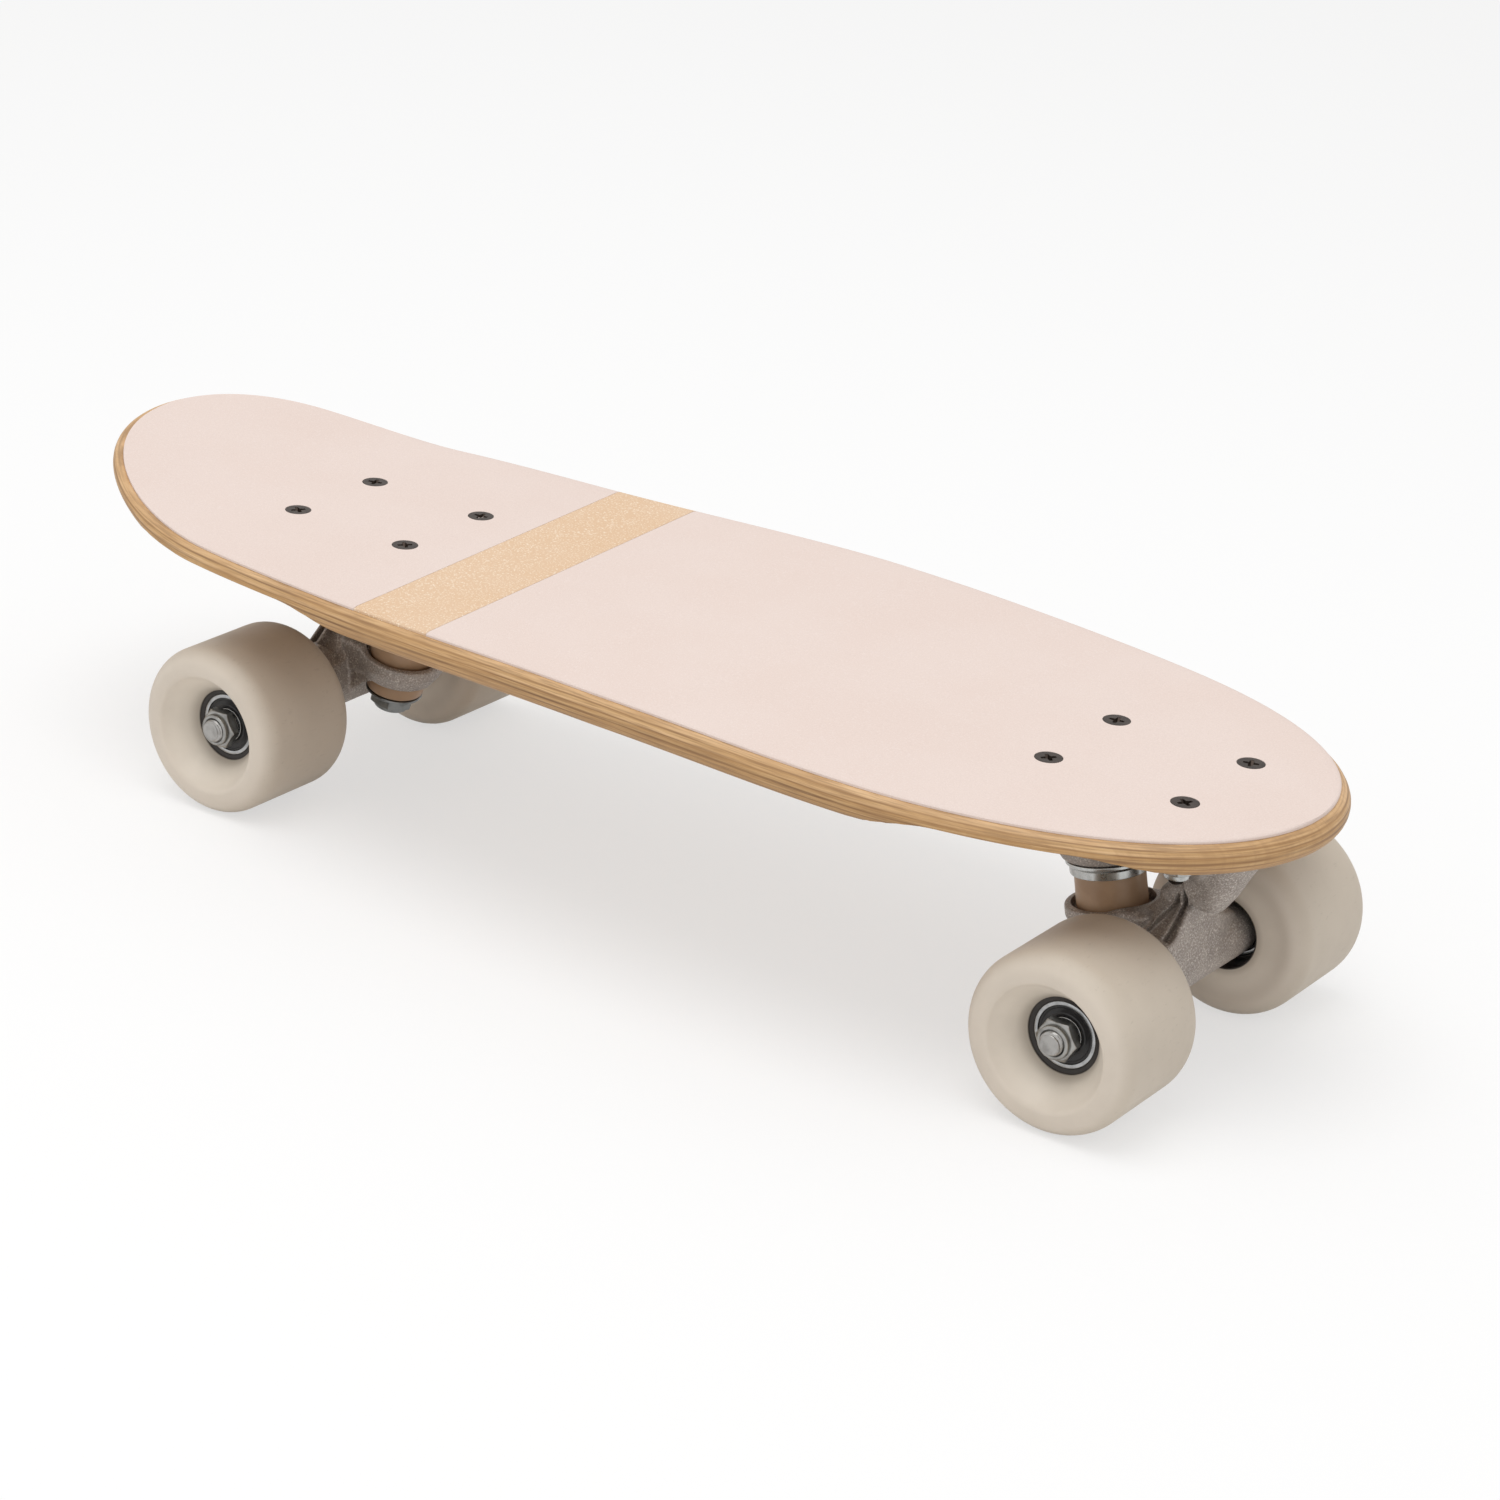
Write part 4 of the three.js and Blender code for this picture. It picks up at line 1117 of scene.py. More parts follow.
@dataclass(frozen=True)
class DeckFasteners:
    """Countersunk cross-recess bolts with lock nuts, four to a truck.

    The first bolt's cross stands turned by some degrees, and each next one by some more.
    """

    top: float = 96.0
    head: float = 9.0
    rim: float = 0.35
    cross_reach: float = 2.6
    cross_half: float = 0.55
    shank: float = 4.8
    pitch: float = 0.8
    thread: float = 16.0
    thread_depth: float = 0.4
    first_turn: float = 17.0
    next_turn: float = 41.0
    tip: float = 69.0
    along: float = 49.0
    across: float = 41.3
    nut_flats: float = 9.5
    nut_height: float = 3.6
    nut_collar: float = 1.9
    nut_top: float = 76.3
    play: float = 0.12

    def profile(self, low: float, high: float, grow: float) -> list[tuple[float, float]]:
        """The bolt's outline from pole to pole, grown by a clearance for its hole.

        Args:
            low: Height of the lower pole.
            high: Height of the upper pole.
            grow: The clearance, added to each radius.

        Returns:
            Radius and height of each ring.
        """
        stem, head = self.shank / 2 + grow, self.head / 2 + grow
        brim = self.top - self.rim
        return [(0, low), (stem - 0.5, low), (stem, low + 0.5), (stem, brim - head + stem),
                (head, brim), (head, high), (0, high)]

    def bolt(self) -> bpy.types.Mesh:
        """The bolt with its helical thread and a tapered cross recess in the head.

        Returns:
            The bolt's mesh, about Z and at its height.
        """
        outline = self.profile(self.tip, self.top, 0)
        outline[5:6] = [(self.head / 2, self.top - 0.12), (self.head / 2 - 0.15, self.top)]
        thread_end = self.tip + self.thread
        body = screw(outline, self.tip + 0.4, thread_end, self.pitch, self.thread_depth)
        return cut(mesh_of("bolt", body), self.recess())

    def recess(self) -> Shell:
        """The cross: a plus-shaped outline that shrinks towards its floor.

        Returns:
            The cutter.
        """
        long, thick = self.cross_reach, self.cross_half
        quarter = [(long, -thick), (long, thick), (thick * 1.5, thick * 1.5)]
        turns = [np.array([[math.cos(a), math.sin(a)], [-math.sin(a), math.cos(a)]])
                 for a in np.arange(4) * math.pi / 2]
        ring = np.vstack([np.array(quarter) @ turn for turn in turns])
        levels = [(1.0, 1.0), (1.0, -0.1), (0.62, -1.1), (0.22, -2.1)]
        rows = [np.column_stack([ring * size, np.full(len(ring), self.top + drop)])
                for size, drop in [(0.0, levels[0][1]), *levels, (0.0, levels[-1][1])]]
        return grid_shell(np.stack(rows))

    def holes(self, patterns: Sequence[float]) -> Shell:
        """The cutter for every bolt of the trucks whose patterns are centred at these places."""
        profile = self.profile(0, self.top + 4, self.play)
        return fused([turned(profile, 40).moved(shift(x, y, 0))
                      for centre in patterns for _, x, y in self.spots(centre, 1)])

    def spots(self, centre: float, outboard: int) -> list[tuple[str, float, float]]:
        """Name and place of the four bolts about a pattern's centre."""
        rows = [("outer", 1), ("inner", -1)]
        return [(f"{row}_{side.word}", centre + outboard * step * self.along / 2,
                 side.value * self.across / 2) for row, step in rows for side in Side]

    def build(self, end: End, centre: float) -> None:
        """Adds the bolts and nuts of one truck.

        Args:
            end: The truck's end.
            centre: The middle of its pattern along the board.
        """
        bolt = self.bolt()
        nut = mesh_of("nut", lock_nut(self.nut_flats, self.nut_height, self.nut_collar, self.shank))
        flip = Matrix.Rotation(math.pi, 4, "X")
        for i, (name, x, y) in enumerate(self.spots(centre, end.value)):
            twist = Matrix.Rotation(math.radians(self.first_turn + self.next_turn * i), 4, "Z")
            node = f"deck_bolt_{end.word}_{name}"
            add_piece(bolt, [node], node + "_screw", "deck_body", DARK_BOLT, shift(x, y, 0) @ twist)
            node = f"deck_nut_{end.word}_{name}"
            place = shift(x, y, self.nut_top) @ flip @ twist
            add_piece(nut, [node], node + "_hex", "deck_body", ZINC, place)


@dataclass(frozen=True)
class Truck:
    """One truck's sizes, in its own frame, and everything that it holds but the wheels.

    Each profile is a list of corners with the radius of the arc at each one.
    """

    plate_top: float = 84.1
    flange: float = 7.5
    flange_half_width: float = 28.5
    flange_in: float = 33.0
    flange_out: float = 39.0
    axle_x: float = 15.9
    axle_z: float = 30.0
    ring_x: float = -7.0
    ring_z: float = 41.5
    lean: float = 12.0
    pivot_x: float = 25.0
    pivot_z: float = 61.5
    pivot_boss: float = 7.9
    pivot_bore: float = 6.05
    ridge_half: float = 6.5
    gusset_top: float = 66.0
    nut_room: float = 6.6
    bolt_hole: float = 2.7
    neck_room: float = 12.0
    plate_cell: float = 0.55
    beam_half: float = 40.0
    beam_radius: float = 9.1
    beam_waist: float = 8.75
    shoulder_half: float = 12.5
    yoke_half: float = 11.5
    cup_radius: float = 13.3
    nose_radius: float = 4.2
    ring_bore: float = 6.95
    pocket_depth: float = 2.8
    hanger_cell: float = 0.4
    axle_radius: float = 4.0
    axle_thread: float = 65.5
    axle_tip: float = 74.0
    pin_radius: float = 4.75
    pin_tip: float = -19.3
    pin_head: float = 36.0
    pin_pitch: float = 1.06
    bushing_bore: float = 4.9
    washer_bore: float = 4.95
    nut_face: float = -12.3
    nut_flats: float = 14.3
    nut_height: float = 4.4
    nut_collar: float = 1.5
    nut_bore: float = 9.2

    @property
    def on_kingpin(self) -> Matrix:
        """From a piece turned about Z to the kingpin's line."""
        turn = Matrix.Rotation(-math.radians(self.lean), 4, "Y")
        return shift(self.ring_x, 0, self.ring_z) @ turn

    @property
    def tilt(self) -> float:
        """The steering axis above level."""
        return math.atan2(self.pivot_z - self.ring_z, self.pivot_x - self.ring_x)

    @property
    def reach(self) -> float:
        """From the ring's centre to the pivot."""
        return math.hypot(self.pivot_z - self.ring_z, self.pivot_x - self.ring_x)

    @property
    def on_steering(self) -> Matrix:
        """From a piece turned about Z to the steering axis."""
        turn = Matrix.Rotation(math.pi / 2 - self.tilt, 4, "Y")
        return shift(self.ring_x, 0, self.ring_z) @ turn

    @property
    def on_axle(self) -> Matrix:
        """From a piece turned about Z to the axle's line, towards the left."""
        return shift(self.axle_x, 0, self.axle_z) @ Matrix.Rotation(-math.pi / 2, 4, "X")

    def baseplate(self, bolts: DeckFasteners) -> bpy.types.Mesh:
        """The cast baseplate: flange, leaning kingpin boss, pivot boss, ridge and gussets.

        Args:
            bolts: The bolts that hold the baseplate to the deck.

        Returns:
            The baseplate's mesh.
        """
        low = self.plate_top - self.flange
        corners = [(-self.flange_in, -self.flange_half_width), (self.flange_out, -self.flange_half_width),
                   (self.flange_out, self.flange_half_width), (-self.flange_in, self.flange_half_width)]
        flange = plate(corner_outline(corners, 8), low, self.plate_top + 0.5, 1.2)
        boss = turned(soft_path([(0, 19.5, 0), (14.7, 19.5, 0.9), (17.0, 24, 2), (17.6, 31, 3),
                                 (18.4, 36.5, 2), (0, 38, 0)]))
        bottom, end, wide = self.reach - 4.5, self.reach + 7.3, self.pivot_boss
        pivot = turned(soft_path([(0, bottom, 0), (wide, bottom, 0), (wide, end - 1, 2), (5.8, end, 2),
                                  (0, end, 0)]), 64)
        horn = turned(soft_path([(0, 53.4, 0), (4.2, 53.4, 2.4), (7.6, 60, 3), (9.6, 66, 3),
                                 (12.6, 74, 3), (13.5, 80, 0), (0, 80, 0)]), 64)
        start = np.array([self.pivot_x, self.pivot_z])
        along = np.array([math.cos(self.tilt), math.sin(self.tilt)])
        near, far = start - 2.5 * along, start + 5.5 * along
        ridge = plate(corner_outline([near, far, (self.flange_out - 5, low + 4), (14, low + 4)], 2),
                      -self.ridge_half, self.ridge_half, 1.5)
        rim, top = low + 1.5, self.gusset_top
        ribs = [((-8, 8), (-24, 21), 3.2), ((24, 5), (33, 21), 3.0), ((-2, 9), (12, 21), 2.8)]
        gussets = [rod((-19, 0, top), (-29, 0, rim + 1), 4.4, 2.6)]
        gussets += [rod((x, side.value * y, top), (far_x, side.value * far_y, rim), thick, 2.2)
                    for side in Side for (x, y), (far_x, far_y), thick in ribs]
        sloped = Matrix(((1, 0, 0.16, 18.2), (0, 1, 0, 0), (0, 0, 1, 0), (0, 0, 0, 1)))
        parts = [flange, boss.moved(self.on_kingpin), pivot.moved(self.on_steering),
                 horn.moved(sloped), standing(ridge), *gussets]
        return self.machined(cast("baseplate", fused(parts), self.plate_cell, 6), bolts)

    def machined(self, body: bpy.types.Mesh, bolts: DeckFasteners) -> bpy.types.Mesh:
        """The baseplate's casting with its top milled flat, and its bores and bolt holes cut.

        Args:
            body: The casting.
            bolts: The bolts that hold the baseplate to the deck.

        Returns:
            The machined mesh.
        """
        square = corner_outline([(-60, -50), (60, -50), (60, 50), (-60, 50)], 4)
        top = plate(square, self.plate_top, self.plate_top + 12, 0.1)
        space = bar(self.neck_room, 24, self.reach - 3.5, 64).moved(self.on_steering)
        shaft = bar(self.washer_bore, 5, 37).moved(self.on_kingpin)
        bore = bar(self.pivot_bore, self.reach - 10, self.reach + 5.3).moved(self.on_steering)
        under, over = self.plate_top - self.flange - 0.05, self.plate_top + 9
        room, hole = self.nut_room, self.bolt_hole
        step = turned([(0, 50), (room, 50), (room, under), (hole, under), (hole, over), (0, over)], 40)
        holes = [step.moved(shift(x, y, 0)) for _, x, y in bolts.spots(0, 1)]
        return cut(cut(body, top + space), fused([shaft, bore, *holes]))

    def hanger(self) -> bpy.types.Mesh:
        """The cast hanger.

        A beam, a tapered ring with a cup for each bushing, a yoke and a shoulder that join them, a
        neck to the pivot, and the web with its sunk pockets. A valley parts the ring from the web.

        Returns:
            The hanger's mesh.
        """
        half, wide, waist = self.beam_half, self.beam_radius, self.beam_waist
        beam = turned(soft_path([(0, -half, 0), (wide, -half, 1.4), (wide, -31, 6), (waist, -11, 10),
                                 (waist, 11, 10), (wide, 31, 6), (wide, half, 1.4), (0, half, 0)]))
        ring = turned(soft_path([(0, -5.2, 0), (12.5, -5.2, 1.2), (15.4, 0.2, 2.5), (15.4, 4.2, 0.7),
                                 (0, 4.2, 0)]))
        shoulder = corner_outline([(self.ring_x, 38), (9, 37), (11.5, 49.4), (6, 49.4),
                                   (self.ring_x, 47.0)], 1.0)
        shoulder = plate(shoulder, -self.shoulder_half, self.shoulder_half, 2.5)
        yoke = corner_outline([(self.ring_x, 36.3), (11, 25.6), (self.axle_x, 34.5),
                               (self.axle_x, 41.9), (self.ring_x, 41.9)], 1.5)
        yoke = plate(yoke, -self.yoke_half, self.yoke_half, 3)
        start = self.reach - 5.1
        nose, tip = self.nose_radius, self.reach + 3.5
        neck = turned(soft_path([(0, start - 12, 0), (3, start - 12, 2), (5.5, start - 5, 1),
                                 (5.5, start - 1, 0.5), (nose, start + 0.4, 0.5),
                                 (nose, tip - 2, 3), (2, tip, 1), (0, tip, 0)]), 64)
        parts = [beam.moved(self.on_axle), ring.moved(self.on_kingpin), standing(yoke),
                 standing(shoulder), neck.moved(self.on_steering), self.web()]
        body = cast("hanger", fused(parts), self.hanger_cell, 2, self.pockets())
        hole, cup = self.ring_bore, self.cup_radius
        cups = turned(soft_path([(0, -26, 0), (14.8, -26, 0), (13.2, -9, 2), (10.9, -5, 2),
                                 (10.9, -3.0, 0.6), (hole, -3.0, 0.3), (hole, 0.4, 0.3),
                                 (cup, 0.4, 0.8), (cup + 0.2, 12, 0), (0, 12, 0)]))
        bore = bar(self.axle_radius + 0.04, -50, 50).moved(self.on_axle)
        valley = turned(soft_path([(0, 1.4, 0), (9.6, 1.4, 1.5), (11.6, 14, 0), (0, 14, 0)]))
        valley = valley.moved(self.on_kingpin @ shift(4.6, 0, 0))
        return cut(cut(body, valley), cups.moved(self.on_kingpin) + bore)

    def web(self) -> Shell:
        """The web: a wedge from the beam up to the neck, through sections across the truck.

        Its flat outboard face runs on from the beam. Each section is a rounded five-cornered
        outline in X and Z, and the corners move in straight lines between the sections.

        Returns:
            The closed shell.
        """
        tall = [(25, 30), (22.6, 55.7), (12.3, 55.1), (6.0, 48.1), (6.8, 36.3)]
        middle = [(25, 30), (23.5, 45.9), (15.9, 47.2), (6.8, 41.5), (6.8, 30)]
        low = [(25, 30), (20.4, 39.1), (15.9, 41), (11.3, 39.1), (6.8, 30)]
        rows = []
        for wide, corners in ((-31, low), (-14, middle), (-3.5, tall), (3.5, tall), (14, middle),
                              (31, low)):
            ring = corner_outline(corners, 0.8, 3)
            rows.append(np.column_stack([ring[:, 0], np.full(len(ring), wide), ring[:, 1]]))
        caps = [np.broadcast_to(row.mean(axis=0), row.shape) for row in (rows[0], rows[-1])]
        return grid_shell(np.stack([caps[0], *rows, caps[1]]))

    def pockets(self) -> Shell:
        """Two pockets in each flank of the web: a narrow groove and a wide one, with a rib between.

        They are drawn on the flank's plane, which runs from the top edge down and outwards, as
        distance down the slope and place along X, and are sunk square to it.

        Returns:
            The cutters of all four pockets.
        """
        groove = [(-1.8, 21.0), (-1.8, 19.9), (17, 18.6), (17, 21.4)]
        wide = [(0.6, 18.6), (0.6, 17.6), (17, 10.2), (17, 17.2)]
        shells = []
        for side in Side:
            slope = Vector((0.06, side.value * 0.73, -0.68)).normalized()
            out = Vector((0, side.value * 0.68, 0.73)).normalized()
            along = out.cross(slope).normalized()
            if along.x < 0:
                along = -along
            frame_of = Matrix((slope, along, out)).transposed().to_4x4()
            frame_of.translation = (0, side.value * 3.5, 55.6)
            for corners in (groove, wide):
                pocket = plate(corner_outline(corners, 0.2, 2), -self.pocket_depth, 5, 0.1, 1)
                shells.append(pocket.moved(frame_of))
        return fused(shells)

    def kingpin(self) -> bpy.types.Mesh:
        """The kingpin: a hexagon head, plain shank, and thread down to its tip.

        Returns:
            The kingpin's mesh, about its own line.
        """
        low, tip, radius = self.pin_head, self.pin_tip, self.pin_radius
        head = turned([(0, low), (7.6, low), (8.0, low + 0.6), (8.0, low + 4.6), (7.2, low + 5.6),
                       (0, low + 5.6)], 6)
        outline = [(0, tip), (radius - 0.85, tip), (radius, tip + 0.9), (radius, low + 2), (0, low + 2)]
        shank = screw(outline, tip + 0.2, -6, self.pin_pitch, 0.55, 48)
        return mesh_of("kingpin", shank + head.moved(Matrix.Rotation(math.pi / 6, 4, "Z")))

    def bushings(self) -> tuple[bpy.types.Mesh, bpy.types.Mesh]:
        """The barrel over the ring and the cone under it.

        Returns:
            Both meshes, about the kingpin's line.
        """
        bore = self.bushing_bore
        top = soft_path([(bore, 8, 0), (bore, 0.7, 0.4), (11.0, 0.7, 0.9), (11.6, 3.5, 4), (11.5, 14, 6),
                         (11.2, 16.7, 0.9), (bore, 16.7, 0.4), (bore, 8, 0)])
        low = soft_path([(bore, -6, 0), (bore, -10.75, 0.4), (10.1, -10.75, 0.9), (10.6, -7, 4),
                         (10.3, -3.3, 0.5), (bore, -3.3, 0.4), (bore, -6, 0)])
        return mesh_of("barrel", turned(top)), mesh_of("cone", turned(low))

    def washers(self) -> tuple[bpy.types.Mesh, bpy.types.Mesh]:
        """The flared washer with its cup wall round the barrel, and the plain one under the cone.

        Returns:
            Both meshes, about the kingpin's line.
        """
        bore = self.washer_bore
        cup = soft_path([(bore, 18, 0), (bore, 17.0, 0.2), (12.1, 17.0, 0.5), (12.1, 14.3, 0.15),
                         (12.75, 14.3, 0.15), (12.8, 16.9, 0.3), (13.9, 17.9, 0.3), (13.9, 18.9, 0.3),
                         (13.2, 19.1, 0.25), (11, 18.4, 0.5), (bore, 18.4, 0.05), (bore, 18, 0)])
        plain = hoop(bore, 10.2, -12, -11.0, 0.3)
        return mesh_of("cup_washer", turned(cup)), mesh_of("plain_washer", plain)

    def pivot_cup(self) -> bpy.types.Mesh:
        """The plastic cup round the hanger's nose.

        Returns:
            The cup's mesh, about the steering axis.
        """
        mouth, end, inner = self.reach - 3.5, self.reach + 3.5, self.nose_radius + 0.15
        profile = soft_path([(0, end + 0.3, 0), (inner, end + 0.3, 0.3), (inner, mouth, 0.3),
                             (5.7, mouth, 0.4), (5.7, end + 1.5, 0.8), (0, end + 1.5, 0)])
        return mesh_of("pivot_cup", turned(profile, 64))

    def axle(self) -> bpy.types.Mesh:
        """The axle, with a thread under each nut.

        Returns:
            The axle's mesh.
        """
        tip, radius = self.axle_tip, self.axle_radius
        profile = [(0, 0), (radius, 0), (radius, tip - 0.9), (radius - 0.8, tip), (0, tip)]
        half = screw(profile, self.axle_thread, tip - 0.2, self.pin_pitch, 0.5, 48)
        other = half.moved(Matrix.Rotation(math.pi, 4, "X"))
        return mesh_of("axle", (half + other).moved(self.on_axle))

    def build(self, end: End, centre: float, meshes: Mapping[str, bpy.types.Mesh]) -> None:
        """Adds one truck's own pieces.

        Args:
            end: The truck's end.
            centre: The middle of its pattern along the board.
            meshes: The truck's meshes by name, in the truck's frame or about their own line.
        """
        turn = Matrix.Rotation(0 if end is End.FRONT else math.pi, 4, "Z")
        stand = shift(centre, 0, 0) @ turn
        kingpin, steering = stand @ self.on_kingpin, stand @ self.on_steering
        fixed, moving = "deck_body", f"{end.word}_hanger"
        nut_place = kingpin @ shift(0, 0, self.nut_face) @ Matrix.Rotation(math.pi, 4, "X")
        rows = [("baseplate", "casting", fixed, CASTING, stand),
                ("hanger", "casting", moving, CASTING, stand),
                ("kingpin", "pin", fixed, STEEL, kingpin),
                ("kingpin_nut", "hex", fixed, GREY_ZINC, nut_place),
                ("bushing_top", "barrel", fixed, BUSHING, kingpin),
                ("bushing_bottom", "cone", fixed, BUSHING, kingpin),
                ("washer_top", "cup", fixed, ZINC, kingpin),
                ("washer_bottom", "disc", fixed, GREY_ZINC, kingpin),
                ("pivot_cup", "liner", fixed, CUP, steering),
                ("axle", "rod", moving, STEEL, stand)]
        for kind, form, body, finish, place in rows:
            node = f"{kind}_{end.word}"
            add_piece(meshes[kind], [node], f"{node}_{form}", body, finish, place)

    def meshes(self, bolts: DeckFasteners) -> dict[str, bpy.types.Mesh]:
        """Every mesh of a truck, each made once for both trucks.

        Args:
            bolts: The bolts that hold the baseplate to the deck.

        Returns:
            The meshes by the kind of piece.
        """
        barrel, cone = self.bushings()
        cup, disc = self.washers()
        nut = lock_nut(self.nut_flats, self.nut_height, self.nut_collar, self.nut_bore)
        return {"baseplate": self.baseplate(bolts), "hanger": self.hanger(), "kingpin": self.kingpin(),
                "kingpin_nut": mesh_of("kingpin_nut", nut), "bushing_top": barrel,
                "bushing_bottom": cone, "washer_top": cup, "washer_bottom": disc,
                "pivot_cup": self.pivot_cup(), "axle": self.axle()}


@dataclass(frozen=True)
class WheelSet:
    """A wheel with its bearings, spacer, speed washers and axle nut, along +Z from the board's middle."""

    radius: float = 29.99
    inner_face: float = 32.3
    outer_face: float = 77.3
    edge: float = 7.0
    bearing: float = 11.0
    bearing_width: float = 7.0
    inner_race: float = 5.9
    outer_race: float = 9.55
    bore: float = 4.0
    core: float = 8.5
    recess: float = 12.1
    inner_start: float = 41.6
    outer_start: float = 58.0
    throat: float = 12.6
    dish_depth: float = 11.4
    crest: float = 4.2
    play: float = 0.1
    spacer_radius: float = 5.2
    washer_radius: float = 5.75
    washer_height: float = 1.0
    washer_gap: float = 0.3
    nut_flats: float = 12.7
    nut_height: float = 4.0
    nut_collar: float = 1.8
    nut_bore: float = 7.7

    @property
    def inner_end(self) -> float:
        """Where the inboard bearing ends."""
        return self.inner_start + self.bearing_width

    @property
    def outer_end(self) -> float:
        """Where the outboard bearing ends."""
        return self.outer_start + self.bearing_width

    def wheel(self) -> bpy.types.Mesh:
        """The wheel: round edges, bearing seats, inner recess and a conical dish outside.

        The dish is a straight cone from the throat to the rim's crest, which an arc rounds.

        Returns:
            The wheel's mesh, with each point's distance from the axle stored.
        """
        tread, seat = self.radius - self.edge, self.bearing + 0.03
        inner_end, outer_end, outer_face = self.inner_end, self.outer_end, self.outer_face
        lip, rim = outer_face - self.dish_depth, tread - self.crest * 0.49
        dish = soft_path([(tread + 0.5, outer_face, 0), (rim, outer_face, self.crest),
                          (self.throat + 0.4, lip + 0.1, 0.5), (self.throat, lip - 0.4, 0)], 12)[1:]
        quarter = np.linspace(0, math.pi / 2, 13)
        outside = np.column_stack([tread + self.edge * np.cos(quarter),
                                   outer_face - self.edge + self.edge * np.sin(quarter)])
        inside = np.column_stack([tread + self.edge * np.sin(quarter),
                                  self.inner_face + self.edge - self.edge * np.cos(quarter)])
        inward = soft_path([(self.recess, self.inner_start, 0), (self.recess, self.inner_face, 0.5),
                            (tread, self.inner_face, 0)])
        steps = np.linspace(inside[-1], outside[0], 14)[1:-1]
        hub = soft_path([(self.throat, outer_end + 0.4, 0), (self.throat - 0.1, outer_end + 0.1, 0.3),
                         (seat, outer_end - 0.1, 0.2), (seat, self.outer_start, 0.1),
                         (self.core, self.outer_start, 0.1), (self.core, inner_end, 0.1),
                         (seat, inner_end, 0.1), (seat, self.inner_start, 0.2),
                         (self.recess, self.inner_start, 0)], 3)
        profile = np.vstack([inward, inside[1:], steps, outside, dish, hub])
        mesh = mesh_of("wheel", turned(profile, 144), 38)
        spots = points_of(mesh)
        point_values(mesh, "radius", np.hypot(spots[:, 0], spots[:, 1]) * MM)
        return mesh

    def races(self) -> bpy.types.Mesh:
        """A bearing's inner and outer ring, from 0 to the bearing's width.

        Returns:
            The mesh of both rings.
        """
        wide, edge = self.bearing_width, 0.3
        outer = hoop(self.outer_race, self.bearing, 0, wide, edge)
        inner = hoop(self.bore + 0.02, self.inner_race, 0, wide, edge)
        return mesh_of("races", outer + inner)

    def seals(self) -> bpy.types.Mesh:
        """A bearing's two seals, each a stepped ring set in between the races.

        Returns:
            The mesh of both seals.
        """
        wide, inset = self.bearing_width, 0.45
        low, high = self.inner_race + 0.05, self.outer_race - 0.05
        outline = [(low, 0.5), (low, 0), (6.7, 0), (7.1, 0.22), (8.6, 0.22), (8.95, 0), (high, 0),
                   (high, 0.9), (low, 0.9), (low, 0.5)]
        near = turned(rounded(outline, 0.12, 3)).moved(shift(0, 0, inset))
        far = near.moved(shift(0, 0, wide) @ Matrix.Rotation(math.pi, 4, "X"))
        return mesh_of("seals", near + far)

    def meshes(self) -> dict[str, bpy.types.Mesh]:
        """Every mesh of a wheel set, each made once for all four wheels.

        Returns:
            The meshes by the kind of piece.
        """
        length, hole = self.outer_start - self.inner_end, self.bore + self.play
        spacer = hoop(hole, self.spacer_radius, 0.05, length - 0.05, 0.2)
        washer = hoop(hole, self.washer_radius, 0, self.washer_height, 0.18)
        nut = lock_nut(self.nut_flats, self.nut_height, self.nut_collar, self.nut_bore)
        return {"wheel": self.wheel(), "races": self.races(), "seals": self.seals(),
                "spacer": mesh_of("spacer", spacer), "washer": mesh_of("washer", washer),
                "nut": mesh_of("axle_nut", nut)}

    def build(self, end: End, side: Side, axle: Matrix, meshes: Mapping[str, bpy.types.Mesh]) -> None:
        """Adds one wheel set.

        Args:
            end: The truck's end.
            side: The board's side.
            axle: From the set's line to its place on the board.
            meshes: The set's meshes by name.
        """
        place = f"{end.word}_{side.word}"
        spinning, held = f"wheel_{place}_body", f"{end.word}_hanger"
        washer, gap = self.washer_height, self.washer_gap
        add_piece(meshes["wheel"], [f"wheel_{place}"], f"wheel_{place}_tyre", spinning,
                  WHEEL_URETHANE, axle)
        for word, start in (("inboard", self.inner_start), ("outboard", self.outer_start)):
            node, at = f"bearing_{word}_{place}", axle @ shift(0, 0, start)
            add_piece(meshes["races"], [node], node + "_races", spinning, RACE_STEEL, at)
            add_piece(meshes["seals"], [], node + "_seals", spinning, SEAL, at)
        rows = [("spacer", [], f"bearing_spacer_{place}", spinning, STEEL, self.inner_end),
                ("washer", [], f"speed_washer_inboard_{place}", held, ZINC,
                 self.inner_start - washer - gap),
                ("washer", [f"speed_washer_{place}"], f"speed_washer_outboard_{place}", held, ZINC,
                 self.outer_end + gap),
                ("nut", [f"axle_nut_{place}"], f"axle_nut_{place}_hex", held, NUT_ZINC,
                 self.outer_end + washer + 2 * gap)]
        for kind, nodes, name, body, finish, start in rows:
            add_piece(meshes[kind], nodes, name, body, finish, axle @ shift(0, 0, start))


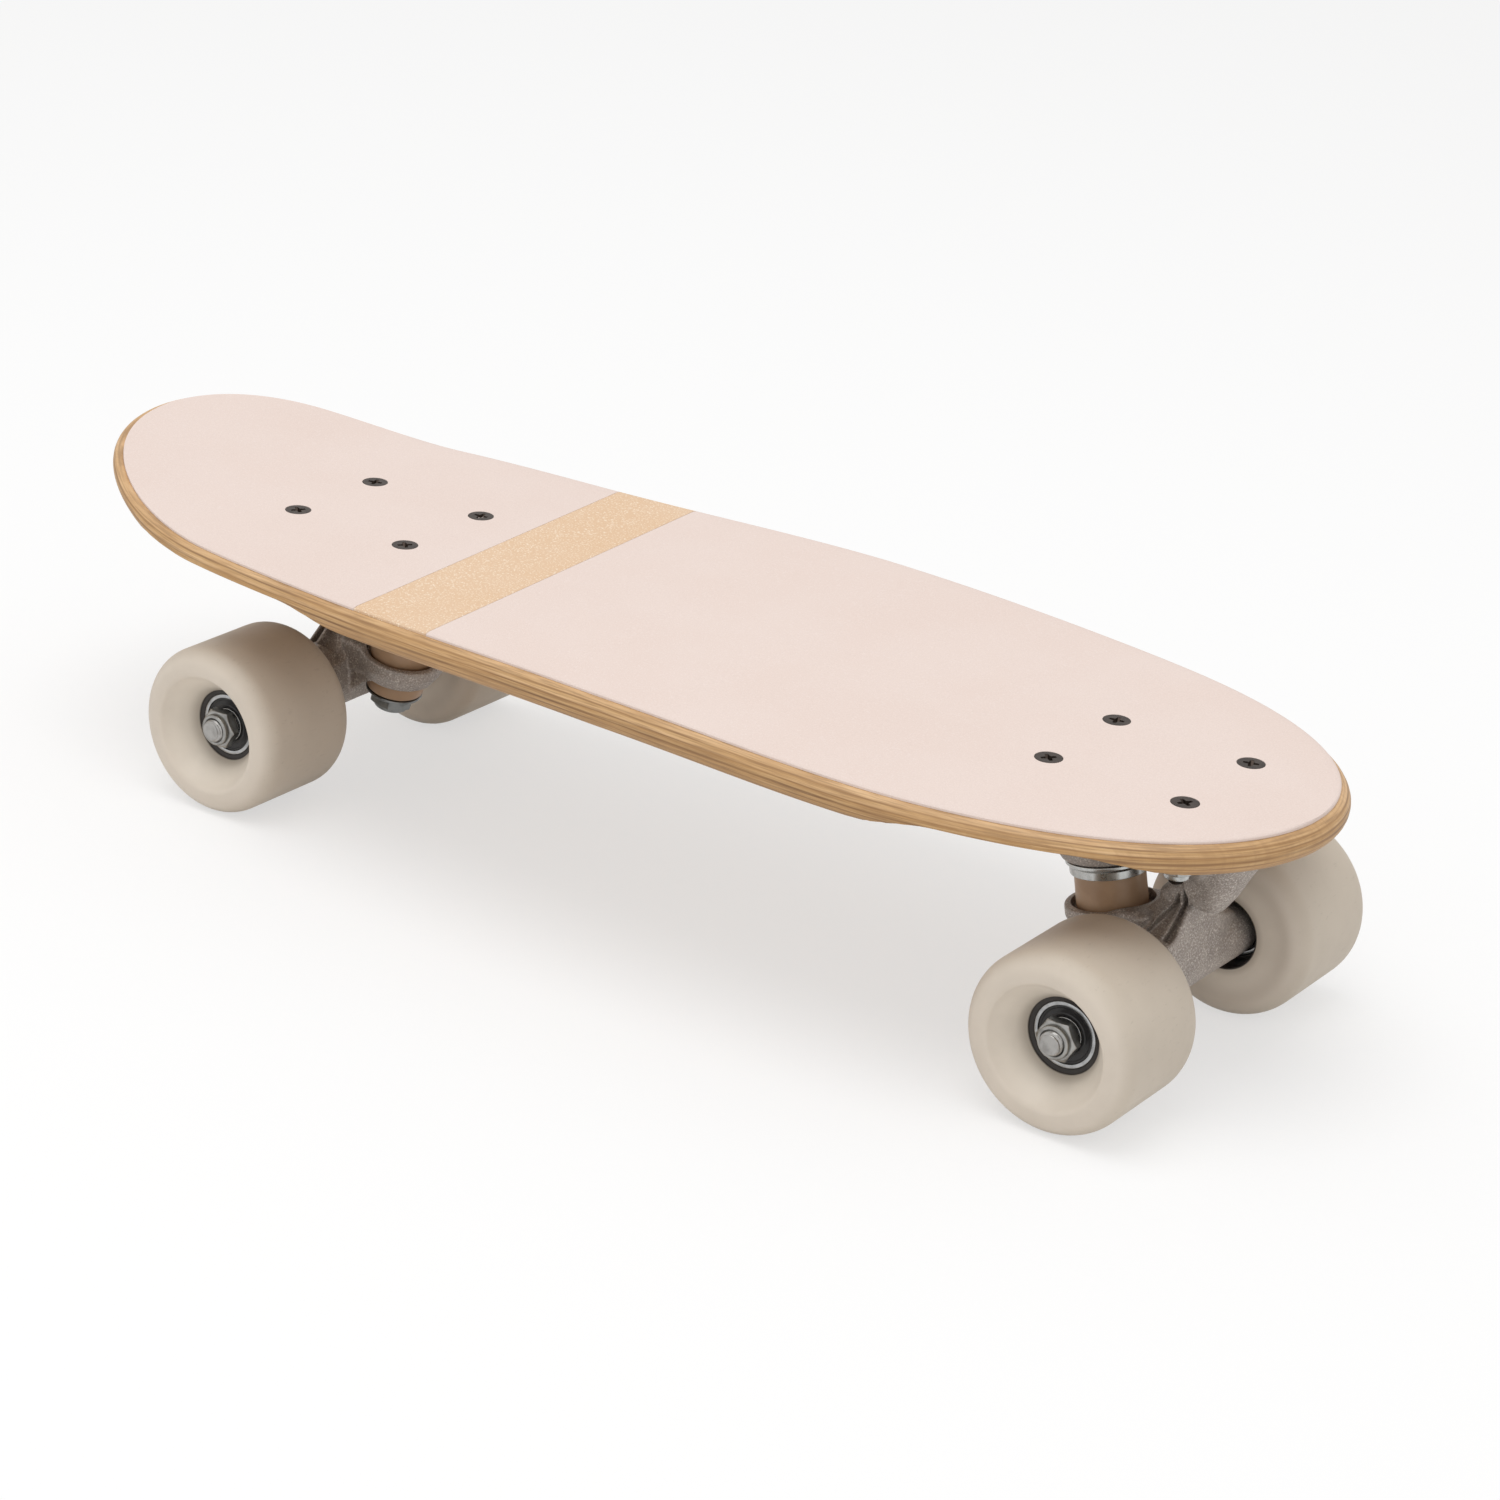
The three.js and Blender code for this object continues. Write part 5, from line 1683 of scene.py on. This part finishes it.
@dataclass(frozen=True)
class Studio:
    """Floor, light and camera of the product picture. The lamp's width is in metres."""

    camera_place: tuple[float, float, float] = (717.51, -1019.12, 582.48)
    camera_right: tuple[float, float, float] = (0.81017, 0.58262, 0.06462)
    camera_down: tuple[float, float, float] = (0.27912, -0.28649, -0.91652)
    lens: float = 95.80
    sensor: float = 36.0
    sky_level: float = 0.71
    lamp_watts: float = 15.2
    lamp_width: float = 1.5
    lamp_place: tuple[float, float, float] = (30, -350, 1880)
    floor_half: float = 8000.0
    floor_plain: Colour = (0.93, 0.928, 0.925, 1)
    floor_tint: Colour = (1, 0.998, 0.995, 1)
    floor_glow: float = 0.59
    floor_lit: float = 0.385

    @staticmethod
    def seen(shader: Shader) -> Wire:
        """1 where the camera looks straight, or by a reflection or through glass, and 0 elsewhere.

        Args:
            shader: The material or world in the making.

        Returns:
            The number.
        """
        paths = shader.node("ShaderNodeLightPath", {}, {}).outputs
        total = Wire(shader, paths["Is Camera Ray"]) + Wire(shader, paths["Is Glossy Ray"])
        return (total + Wire(shader, paths["Is Transmission Ray"])).between(0, 1)

    def floor(self) -> None:
        """A pale seamless floor.

        Where it is seen it glows by itself and takes only a part of the light, which keeps the
        object's shadow pale. To all other light it is a plain pale floor.
        """
        half = self.floor_half
        grid = np.array([[(-half, -half, 0), (half, -half, 0)], [(-half, half, 0), (half, half, 0)]])
        mesh = bpy.data.meshes.new("floor")
        flat = grid_shell(grid, around=False)
        mesh.from_pydata((flat.points * MM).tolist(), [], flat.quads[:, ::-1].tolist())
        shader = Shader(bpy.data.materials.new("studio_floor"))
        plain = shader.surface.outputs[0]
        glow = shader.node("ShaderNodeEmission", {}, {"Color": self.floor_tint,
                                                      "Strength": self.floor_glow})
        lit = shader.node("ShaderNodeBsdfDiffuse", {}, {"Color": (*[self.floor_lit] * 3, 1)})
        both = shader.node("ShaderNodeAddShader", {}, {0: glow.outputs[0], 1: lit.outputs[0]})
        shown = shader.node("ShaderNodeMixShader", {}, {0: self.seen(shader), 1: plain,
                                                        2: both.outputs[0]})
        shader.feed(shader.tree.nodes["Material Output"].inputs["Surface"], shown.outputs[0])
        mesh.materials.append(shader.dress({
            "Base Color": self.floor_plain, "Roughness": 0.7, "Specular IOR Level": 0.2,
        }))
        item = placed("floor", mesh)

    def sky(self) -> None:
        """An even white surround, plain white to the camera, in reflections and through glass."""
        world = bpy.data.worlds.new("studio_sky")
        bpy.context.scene.world = world
        shader = Shader(world, "Background")
        level = self.sky_level + self.seen(shader) * (1 - self.sky_level)
        shader.dress({"Color": (1, 1, 1, 1), "Strength": level})

    def lamp(self) -> None:
        """One broad soft lamp above the board."""
        data = bpy.data.lights.new("softbox", "AREA")
        data.shape, data.size, data.energy = "DISK", self.lamp_width, self.lamp_watts
        item = placed("softbox", data)
        item.location = Vector(self.lamp_place) * MM
        item.rotation_mode = "QUATERNION"
        item.rotation_quaternion = (-item.location).to_track_quat("-Z", "Y")

    def camera(self) -> None:
        """The camera at the photograph's place, turned by its measured axes."""
        right, down = Vector(self.camera_right), Vector(self.camera_down)
        ahead = right.cross(down)
        data = bpy.data.cameras.new("camera")
        data.lens, data.sensor_width = self.lens, self.sensor
        item = placed("camera", data)
        turn = Matrix((right, -down, -ahead)).transposed().to_4x4()
        item.matrix_world = Matrix.Translation(Vector(self.camera_place) * MM) @ turn
        bpy.context.scene.camera = item

    def build(self) -> None:
        """Sets up the whole studio."""
        self.camera()
        self.floor()
        self.sky()
        self.lamp()
        bpy.context.scene.view_settings.view_transform = "Standard"


def main() -> None:
    """Builds the studio and the board."""
    logging.basicConfig(level=logging.INFO, format="%(message)s")
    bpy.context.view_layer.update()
    Studio().build()
    bolts, truck, wheels = DeckFasteners(), Truck(), WheelSet()
    off_pattern = (truck.flange_out - truck.flange_in) / 2
    centres = {end: sum(corner.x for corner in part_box(f"baseplate_{end.word}")) / 2 / MM
               - off_pattern * end.value for end in End}
    Deck().build(bolts.holes(list(centres.values())))
    truck_meshes, wheel_meshes = truck.meshes(bolts), wheels.meshes()
    for end, centre in centres.items():
        bolts.build(end, centre)
        truck.build(end, centre, truck_meshes)
        for side in Side:
            axle = shift(centre + end.value * truck.axle_x, 0, truck.axle_z)
            turn = Matrix.Rotation(-side.value * math.pi / 2, 4, "X")
            wheels.build(end, side, axle @ turn, wheel_meshes)


if __name__ == "__main__":
    main()
